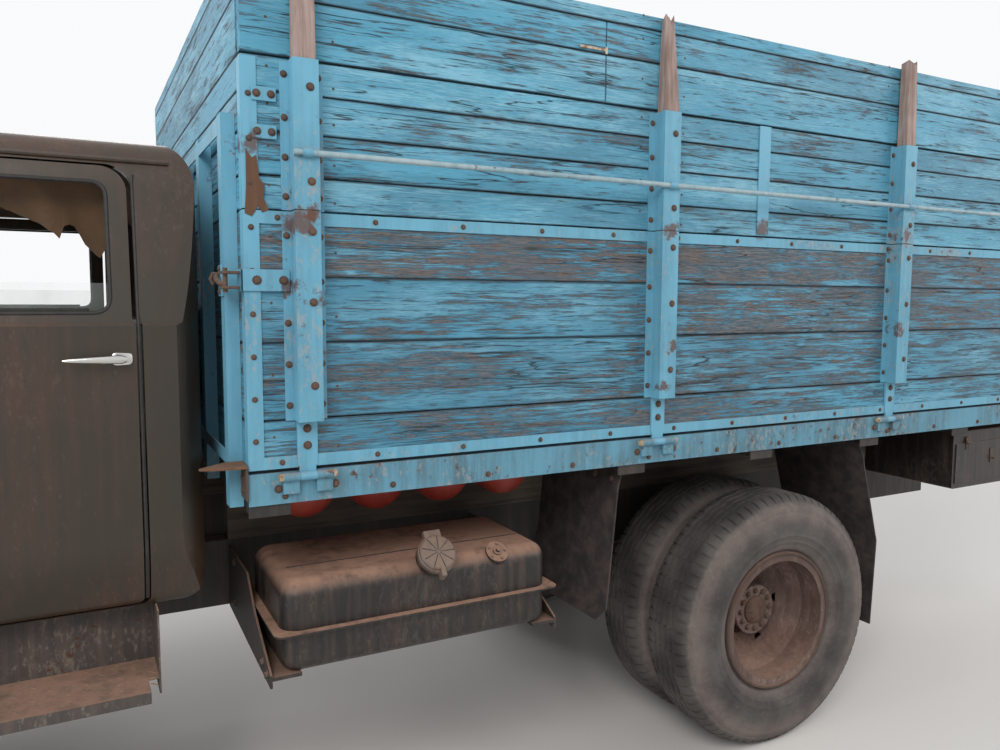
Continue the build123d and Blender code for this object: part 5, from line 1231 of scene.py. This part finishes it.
def addHandle(values, side, label):
    handle = Form()
    x, y, z = values["handle"]
    y *= side
    out = (0, side, 0)
    handle.plate(rounded(values["handlePlate"], 5), 0.006, sideFace((x, y, z), side))
    handle.turned([(0.004, 0.013), (0.020, 0.011), (0.030, 0.012)], facing((x, y, z), out), 20)
    rows = []
    for index in range(13):
        t = index / 12
        along = x - 0.012 + (values["handleReach"] + 0.012) * t
        at = Vector((along, y + side * (0.031 + 0.004 * math.sin(t * 3.1)), z))
        end = 0.55 if index in (0, 12) else 1
        wide = 0.0125 * (1 - 0.62 * t ** 1.4) * end
        deep = 0.0085 * (1 - 0.45 * t) * end
        rows.append([at + Vector((0, c * deep, s * wide)) for c, s in circle(14)])
    handle.skin(rows)
    handle.turned([(0, 0.0055), (0.0025, 0.005)], facing((x + 0.001, y + side * 0.0295, z), out), 12, 1)
    handle.dress(f"{label}_door_handle", ["chrome", "seal"], f"{label}_door", sharp=50)


def addWindowRubber(values, side, label):
    rubber = Form()
    points = [(a, side * (sideOut(b) - 0.003), b) for a, b in rounded(values["window"], 6, 0.001)]
    rubber.tube(points, 0.0062, 8, wrap=True)
    sill = [a for a, b in rounded(values["window"], 6, 0.006) if b < 1.84]
    box = sideBox(min(sill) + 0.03, max(sill) - 0.02, side, *values["windowLip"])
    rubber.block(*box, 0.002)
    rubber.dress(f"{label}_window_rubber", ["seal"], f"{label}_door")


def addDoorInside(values, side, label):
    # Window crank and latch lever on the door's inner trim
    inside = Form()
    body = f"{label}_door"
    inwards = (0, -side, 0)
    trimY = castOn(body, (1.50, side * 0.5, 1.45), (0, side, 0))[0].y
    x, z = values["crank"]
    boss = facing((x, trimY - side * 0.001, z), inwards)
    inside.turned([(0, 0.024), (0.010, 0.022), (0.018, 0.012)], boss, 20)
    path = ((0, 0.022, 0), (0.025, 0.030, -0.050), (0.040, 0.032, -0.085))
    crank = [(x + a, trimY - side * b, z + c) for a, b, c in path]
    inside.tube(crank, 0.006, 10)
    inside.turned([(0, 0.012), (0.026, 0.013), (0.030, 0.009)], facing(crank[-1], inwards), 16, 1)
    x, z = values["latch"]
    boss = facing((x, trimY - side * 0.001, z), inwards)
    inside.turned([(0, 0.022), (0.008, 0.020), (0.020, 0.010)], boss, 20)
    inside.tube([(x, trimY - side * 0.020, z), (x + 0.12, trimY - side * 0.024, z - 0.005)], 0.007, 10)
    inside.dress(f"{label}_door_fittings", ["chrome", "seal"], body)


def addDoorTrim(values):
    for side, label in sides:
        addHandle(values, side, label)
        addWindowRubber(values, side, label)
        addDoorInside(values, side, label)
    print("door trim")


def addWipers(values):
    form = Form()
    reach = values["wiperReach"]
    leanX, leanZ = values["screenLean"]
    ahead = Vector((leanZ, 0, -leanX))
    for y in values["wiperYs"]:

        def spot(way, across, up, out):
            return onScreen(values, y + reach + way * across, reach - way * up, out)

        foot, _ = castOn("cab", (2.6, y, values["wiperZ"]), (-1, 0, 0))
        form.turned(values["wiperFoot"], facing(foot, ahead), 18)
        arm = [foot + ahead * 0.024, onScreen(values, y + 0.05, 0.055, 0.036), spot(0, 0, 0, 0.020)]
        form.tube(arm, 0.0042, 8)
        form.tube([spot(way, 0.105, 0.145, 0.008) for way in (-1, -0.4, 0.4, 1)], 0.0050, 8)
        form.tube([spot(way, 0.07, 0.097, 0.017 if way else 0.024) for way in (-1, 0, 1)], 0.0034, 8)
    form.dress("wipers", ["seal"], "chassis")


def addCabTrim(values):
    seals = Form()
    for side in (1, -1):
        zs = spaced(*values["seamZs"])
        seals.tube([(values["seamX"], side * (sideOut(z) - 0.005), z) for z in zs], 0.0062, 8)
    screen = [onScreen(values, a, b, 0.002) for a, b in rounded(values["screen"], 6, -0.004)]
    seals.tube(screen, 0.0115, 10, wrap=True)
    rear = [(values["rearX"], a, b) for a, b in rounded(values["rearWindow"], 6, -0.004)]
    seals.tube(rear, 0.0105, 10, wrap=True)
    seals.dress("cab_seals", ["seal"], "chassis")
    rails = Form()
    for side in (1, -1):
        points = []
        for x in values["railXs"]:
            spot, normal = castOn("cab", (x, side * 1.5, values["railZ"]), (0, -side, 0))
            points.append(spot + normal * 0.003)
        rails.tube(points, 0.0072, 8)
    rails.dress("rain_rails", ["cab"], "chassis")
    addWipers(values)
    print("cab trim")


# Lamps: rims, fluted lenses and housings, in place of the plain CAD lamps
lampParts = {
    "head": (0.845, 0.985, 3.441),
    "headRim": ((0.0, 0.104), (0.014, 0.106), (0.020, 0.104), (0.022, 0.096)),
    "headLens": (0.091, 0.024),
    "side": (0.977, 0.985, 3.441),
    "sideRim": ((0.0, 0.0235), (0.009, 0.024), (0.012, 0.021)),
    "sideLens": (0.019, 0.014),
    "flute": 0.0012,
    "tail": (1.040, 1.225, -3.403),
    "tailHalf": (0.060, 0.045),
    "tailXs": (0.010, 0.060),
    "tailLens": (
        (-0.026, -0.036, 0.008), (0.026, -0.036, 0.008), (0.026, 0.036, 0.008), (-0.026, 0.036, 0.008),
    ),
    "tailLensY": 0.029,
}


def addLens(form, place, radius, dome, slot, flute):
    # A domed lens whose fine flutes run upright
    rings = 10
    rows = []
    for ring in range(rings):
        share = 1 - ring / rings
        row = []
        for c, s in circle(48):
            ripple = flute * abs(math.sin(share * c * 13)) * min(1, 4 * (1 - share))
            row.append((radius * share * c, radius * share * s, dome * (1 - share ** 2) - ripple))
        rows.append(row)
    rows.insert(0, [(x, y, -0.006) for x, y, _ in rows[0]])
    form.skin(rows, slot, place=place)


def addLamps(values):
    form = Form()
    for side in (1, -1):
        for key, slot in (("head", 1), ("side", 2)):
            y, z, x = values[key]
            rim = values[f"{key}Rim"]
            form.turned(rim, facing((x, side * y, z), (1, 0, 0)), 48)
            lens = facing((x + rim[-1][0], side * y, z), (1, 0, 0))
            addLens(form, lens, *values[f"{key}Lens"], slot, values["flute"])
        y, z, x = values["tail"]
        wide, tall = values["tailHalf"]
        back, front = (x + reach for reach in values["tailXs"])
        form.block(*sideBox(back, front, side, y - wide, y + wide, z - tall, z + tall), 0.004)
        for way, slot in ((-1, 3), (1, 2)):
            place = facing((back, side * (y + way * values["tailLensY"]), z), (-1, 0, 0))
            form.plate(rounded(values["tailLens"], 4), 0.010, place, slot, 0.003)
    form.dress("lamp_units", ["cab", "lampGlass", "amberGlass", "redGlass"], "chassis", ["lamps"], 40)
    print("lamps")


# Bench seat: a crowned cushion and back with sewn channels
seatParts = {
    "half": 0.757,
    "cushion": ((1.062, 1.294), (1.558, 1.428)),
    "back": ((0.967, 1.294), (1.056, 1.788)),
    "channels": 13,
    "groove": 0.012,
    "crown": 0.010,
    "squareness": 0.36,
    "piping": 0.0042,
    "pipingIn": 0.020,
}


def softRing(values, low, high, y, channel, lean):
    # One section of a stuffed pad in the XZ plane: flat below, crowned on the side that is sat on
    (x0, z0), (x1, z1) = low, high
    crown, groove, power = values["crown"], values["groove"], values["squareness"]
    points = []
    for c, s in circle(40):
        a = math.copysign(abs(c) ** power, c)
        b = math.copysign(abs(s) ** power, s)
        face, across = (a, b) if lean else (b, a)
        puff = crown * (1 - across ** 2) + channel * (0.35 + 0.65 * (1 - across ** 4))
        drop = max(0, face) ** 2 * (crown + groove - puff)
        x = (x0 + x1) / 2 + a * (x1 - x0) / 2 - (drop if lean else 0)
        z = (z0 + z1) / 2 + b * (z1 - z0) / 2 - (0 if lean else drop)
        points.append((x, y, z))
    return points


def addPiping(values, label, lean):
    (x0, z0), (x1, z1) = values[label]
    if lean:
        ends = [(x1 - 0.012, z0 + 0.030), (x1 - 0.012, z1 - 0.020)]
    else:
        ends = [(x0 + 0.030, z1 - 0.016), (x1 - 0.020, z1 - 0.016)]
    y = values["half"] - values["pipingIn"]
    corners = [Vector((a, y, b)) for a, b in ends] + [Vector((a, -y, b)) for a, b in ends[::-1]]
    following = corners[1:] + corners[:1]
    points = [a.lerp(b, t / 10) for a, b in zip(corners, following) for t in range(10)]
    form = Form()
    form.tube(points, values["piping"], 8, wrap=True)
    form.dress(f"seat_{label}_piping", ["leather"], "chassis")


def addSeat(values):
    half, count = values["half"], values["channels"] * 8
    for label, lean in (("cushion", False), ("back", True)):
        low, high = values[label]
        rows = []
        for index in range(count + 1):
            share = index / count
            wave = abs(math.sin(share * math.pi * values["channels"]))
            end = min(1, min(share, 1 - share) * count / 4)
            inset = 0.024 * (1 - math.sqrt(1 - (1 - end) ** 2))
            a = (low[0] + inset, low[1] + inset * 0.4)
            b = (high[0] - inset, high[1] - inset)
            y = -half + 2 * half * share
            rows.append(softRing(values, a, b, y, values["groove"] * wave ** 0.45, lean))
        form = Form()
        form.skin(rows)
        piece = form.dress(f"seat_{label}", ["leather"], "chassis", ["seat"], 60)
        addPiping(values, label, lean)
    print("bench seat")


# Headliner cloth under the roof, and the torn part of it that hangs at the left window
linerParts = {
    "xs": (0.972, 1.714),
    "halfY": 0.925,
    "flat": (2.02, 0.76),
    "castZ": 2.205,
    "sweep": 88,
    "clothGrid": (18, 44),
    "sag": 0.006,
    "tearFlat": (0.58, 0.28),
    "tearGrid": (44, 14),
    "tearY": 0.888,
    "tearTop": 2.253,
    "tearTuck": 0.015,
    "tearEdge": (
        (1.135, 2.130), (1.146, 2.040), (1.175, 1.985), (1.213, 2.028), (1.240, 2.080), (1.262, 2.082),
        (1.277, 2.040), (1.326, 2.080), (1.420, 2.122), (1.520, 2.140), (1.600, 2.172), (1.705, 2.190),
    ),
}


def addCloth(values):
    # The sheet follows the roof's inside, found by rays, and sags a little between its bows
    form = Form()
    (x0, x1), half = values["xs"], values["halfY"]
    lengths, widths = values["clothGrid"]
    rows = []
    for i in range(lengths + 1):
        x = x0 + (x1 - x0) * i / lengths
        row = []
        for j in range(widths + 1):
            angle = math.radians(values["sweep"] * (2 * j / widths - 1))
            start = Vector((x, half * 0.90 * math.sin(angle), values["castZ"]))
            ahead = Vector((0, math.sin(angle) * 0.55, 0.35 + math.cos(angle)))
            spot, _ = castOn("headliner", start, ahead.normalized())
            sag = values["sag"] * (0.5 + 0.5 * math.cos(math.tau * i / 6)) + 0.004 * noise.noise(spot * 5)
            inwards = Vector((0, -spot.y * 0.5, -0.6)).normalized()
            row.append(form.mesh.verts.new(spot + inwards * (0.003 + max(0, sag))))
        rows.append(row)
    for a, b in zip(rows, rows[1:]):
        for j in range(widths):
            form.mesh.faces.new((a[j], b[j], b[j + 1], a[j + 1]))
    cloth = form.dress("headliner_cloth", ["liner"], "chassis", ["headliner"])


def tearFoot(edge, x):
    # Height of the torn edge at x
    for (lowX, lowZ), (highX, highZ) in zip(edge, edge[1:]):
        if x <= highX + 1e-9:
            foot = lowZ + (highZ - lowZ) * (x - lowX) / (highX - lowX)
            return foot + 0.004 * noise.noise(Vector((x * 60, 1, 2)))
    return edge[-1][1]


def addTear(values):
    form = Form()
    edge, top = values["tearEdge"], values["tearTop"]
    columns, drops = values["tearGrid"]
    grid = []
    for i in range(columns + 1):
        x = edge[0][0] + (edge[-1][0] - edge[0][0]) * i / columns
        foot = tearFoot(edge, x)
        column = []
        for j in range(drops + 1):
            t = j / drops
            z = top + (foot - top) * t
            fold = 0.016 * math.sin(x * 34 + 1.5 * t) * t ** 0.7
            fold += 0.010 * noise.noise(Vector((x * 9, z * 9, 4))) * t
            curl = -0.030 * t ** 2 * max(0, (2.214 - foot) / 0.23)
            y = values["tearY"] + values["tearTuck"] * (1 - t) ** 3 + 0.012 * t + fold + curl
            column.append(form.mesh.verts.new((x, y, z)))
        grid.append(column)
    for a, b in zip(grid, grid[1:]):
        for j in range(drops):
            form.mesh.faces.new((a[j], a[j + 1], b[j + 1], b[j]))
    area = sum(face.calc_area() for face in form.mesh.faces)
    tear = form.dress("headliner_tear", ["liner"], "chassis")
    print("headliner, torn at the left window", round(area, 4))


# Driver's things: gear lever, brake lever, pedals, gauges and switches
controls = {
    "levers": ((1.86, 0.02, -0.20, 0.42), (1.74, -0.12, 0.05, 0.30)),
    "boot": ((-0.002, 0.062), (0.012, 0.056), (0.045, 0.024), (0.058, 0.014)),
    "knob": (
        (-0.024, 0.008), (-0.018, 0.018), (-0.004, 0.025), (0.010, 0.024), (0.020, 0.015), (0.025, 0.006),
    ),
    "pedalX": 1.975,
    "pedalYs": (0.46, 0.35, 0.24),
    "pedalRibs": (-0.031, 0.0135, 5),
    "gauges": ((-0.16, 0.036), (0.0, 0.052), (0.16, 0.036)),
    "gaugeZ": 1.525,
    "switchYs": (-0.42, -0.36, -0.30),
    "switchZ": 1.50,
    "switch": ((0, 0.010), (0.014, 0.008), (0.016, 0.013), (0.026, 0.012)),
}


def addLevers(values, form):
    for x, y, lean, tall in values["levers"]:
        foot, _ = castOn("cab", (x, y, 1.25), (0, 0, -1))
        points = [foot + Vector((lean * t ** 1.6, 0, tall * t)) for t in (0, 0.25, 0.5, 0.75, 1.0)]
        form.tube(points, 0.0085, 10)
        form.turned(values["boot"], facing(foot, (0, 0, 1)), 24, 1)
        form.turned(values["knob"], facing(points[-1], (lean * 0.4, 0, 1)), 24, 1)


def addPedals(values, form):
    for y in values["pedalYs"]:
        foot, _ = castOn("cab", (values["pedalX"], y, 1.25), (0, 0, -1))
        form.tube([foot, foot + Vector((-0.01, 0, 0.06)), foot + Vector((-0.05, 0, 0.12))], 0.007, 10)
        tread = facing(foot + Vector((-0.052, 0, 0.125)), (-0.82, 0, 0.57))
        form.block((-0.034, -0.040, -0.004), (0.034, 0.040, 0.006), 0.003, 1, tread)
        for rib in spaced(*values["pedalRibs"]):
            form.block((-0.031, rib, 0.006), (0.031, rib + 0.005, 0.009), 0.001, 1, tread)


def addControls(values):
    form = Form()
    addLevers(values, form)
    addPedals(values, form)
    for y, radius in values["gauges"]:
        spot, normal = castOn("dashboard", (1.2, y, values["gaugeZ"]), (1, 0, 0))
        dial = facing(spot + normal * 0.0005, normal)
        rim = [(0, radius + 0.007), (0.007, radius + 0.006), (0.009, radius), (0.004, radius - 0.002)]
        form.turned(rim, dial, 32)
        form.turned([(0.0042, radius - 0.003), (0.0046, radius - 0.006)], dial, 32, 2)
    for y in values["switchYs"]:
        spot, normal = castOn("dashboard", (1.2, y, values["switchZ"]), (1, 0, 0))
        form.turned(values["switch"], facing(spot, normal), 16, 1)
    form.dress("driver_controls", ["rod", "seal", "cream"], "chassis", sharp=40)
    print("driver's controls")


# Small chassis fittings: tread plates, box hinges and hasp, flap bolts and bumper bolts
chassisParts = {
    "treadPitch": 0.044,
    "treadFrom": (1.085, 0.925, 0.7602),
    "treadCounts": (17, 5),
    "treadHalf": (0.0145, 0.0048),
    "flaps": ((-0.2, -1), (-2.3, 1)),
    "flapBolts": (0.680, 0.105, 5),
    "flapZ": 1.205,
    "boxX": -2.82,
    "boxHingeXs": (-3.02, -2.62),
    "bumperYs": (0.36, 0.44, 0.78, 1.00),
    "bumperZs": (0.655, 0.745),
}


def addTreads(values):
    # Lozenges on the steps, each turned across the next one
    form = Form()
    x0, y0, z = values["treadFrom"]
    long, wide = values["treadHalf"]
    alongs, acrosses = values["treadCounts"]
    for side in (1, -1):
        for i in range(alongs):
            for j in range(acrosses):
                spot = (x0 + i * values["treadPitch"], side * (y0 + j * values["treadPitch"]), z)
                turn = Matrix.Rotation(math.radians(45 if (i + j) % 2 else -45), 4, "Z")
                rows = [
                    [(long * size * c, wide * size * s, level) for c, s in circle(8)]
                    for level, size in ((0, 1.0), (0.0018, 0.55))
                ]
                form.skin(rows, place=Matrix.Translation(spot) @ turn)
    form.dress("step_treads", ["step"], "chassis")


def addHasp(values, form):
    # Two lid hinges and a hasp on the tool box's left face
    x = values["boxX"]
    face = castOn("tool_box", (x, 1.4, 1.10), (0, -1, 0))[0].y
    inner, outer = face + 0.0004, face + 0.0034
    for hingeX in values["boxHingeXs"]:
        form.block((hingeX - 0.016, inner, 1.150), (hingeX + 0.016, outer, 1.212))
        barrel = facing((hingeX, face + 0.0050, 1.186), (1, 0, 0))
        form.turned([(-0.017, 0.0055), (0.017, 0.0055)], barrel, 10)
        for z in (1.160, 1.174):
            form.bolt((hingeX, outer, z), (0, 1, 0), 0.0045, 0.004)
    form.block((x - 0.016, inner, 1.070), (x + 0.016, outer, 1.140))
    form.turned([(0, 0.006), (0.016, 0.006)], facing((x, face + 0.003, 1.092), (0, 1, 0)), 12)


def addChassisFittings(values):
    addTreads(values)
    form = Form()
    addHasp(values, form)
    for side in (1, -1):
        for x, way in values["flaps"]:
            for y in spaced(*values["flapBolts"]):
                spot, normal = castOn("mudflaps", (x, side * y, values["flapZ"]), (way, 0, 0))
                form.bolt(spot, normal)
        for y in values["bumperYs"]:
            for z in values["bumperZs"]:
                spot, normal = castOn("front_bumper", (3.9, side * y, z), (-1, 0, 0))
                form.bolt(spot, normal, 0.011, 0.009)
    form.dress("chassis_bolts", ["bolt"], "chassis")
    print("chassis fittings")


addDoorTrim(cabTrim)
addCabTrim(cabTrim)
addLamps(lampParts)
addSeat(seatParts)
addCloth(linerParts)
addTear(linerParts)
addControls(controls)
addChassisFittings(chassisParts)


# Studio: pale floor and backdrop, soft lamps
studio = {
    "floor": (0.70, 0.68, 0.66),
    "backdrop": (0.95, 0.96, 0.97),
    "fade": (5.0, 15.0),
    "fill": 0.50,
    "lamps": (
        ("key", (5.5, 7.5, 7.5), 5.0, 640, (1.0, 0.98, 0.95)),
        ("rim", (-7.5, 5.0, 6.0), 4.0, 300, (1.0, 0.99, 0.97)),
        ("far", (0.0, -9.0, 6.5), 5.0, 380, (1.0, 1.0, 1.0)),
        ("front", (9.0, 0.0, 5.0), 4.0, 260, (1.0, 1.0, 1.0)),
    ),
}


def addStudio(values):
    scene = bpy.context.scene
    scene.view_settings.view_transform = "Standard"
    world = bpy.data.worlds.new("studio")
    scene.world = world
    world.use_nodes = True
    tree = world.node_tree
    backdrop = values["backdrop"]
    light = addNode(tree, "ShaderNodeBackground", Color=backdrop, Strength=values["fill"])["Background"]
    seen = addNode(tree, "ShaderNodeBackground", Color=backdrop, Strength=1.0)["Background"]
    rays = addNode(tree, "ShaderNodeLightPath")
    shown = rays["Is Camera Ray"].most(rays["Is Glossy Ray"]).most(rays["Is Transmission Ray"])
    both = addNode(tree, "ShaderNodeMixShader", at0=shown, at1=light, at2=seen)["Shader"]
    feed(tree, tree.nodes["World Output"].inputs["Surface"], both)
    for name, place, size, power, color in values["lamps"]:
        data = bpy.data.lights.new(name, "AREA")
        data.energy = power
        data.size = size
        data.color = color
        lamp = bpy.data.objects.new(name, data)
        lamp.location = place
        aim = Vector((0, 0, 1.2)) - Vector(place)
        lamp.rotation_euler = aim.to_track_quat("-Z", "Y").to_euler()
        scene.collection.objects.link(lamp)
    f = Finish("studio floor")
    f.coat(Base_Color=values["floor"], Roughness=0.9)
    far = f.ease((f.x ** 2.0 + f.y ** 2.0) ** 0.5, *values["fade"])
    glow = f.make("ShaderNodeEmission", Color=backdrop, Strength=1.0)["Emission"]
    ground = Wire(f.tree, f.surface.outputs["BSDF"])
    both = f.make("ShaderNodeMixShader", at0=far, at1=ground, at2=glow)["Shader"]
    feed(f.tree, f.tree.nodes["Material Output"].inputs["Surface"], both)
    data = bpy.data.meshes.new("floor")
    reach = 60
    corners = [(-reach, -reach, 0), (reach, -reach, 0), (reach, reach, 0), (-reach, reach, 0)]
    data.from_pydata(corners, [], [(0, 1, 2, 3)])
    data.materials.append(f.material)
    floor = bpy.data.objects.new("floor", data)
    scene.collection.objects.link(floor)


addCamera(cameraValues)
addStudio(studio)
print("camera and studio")
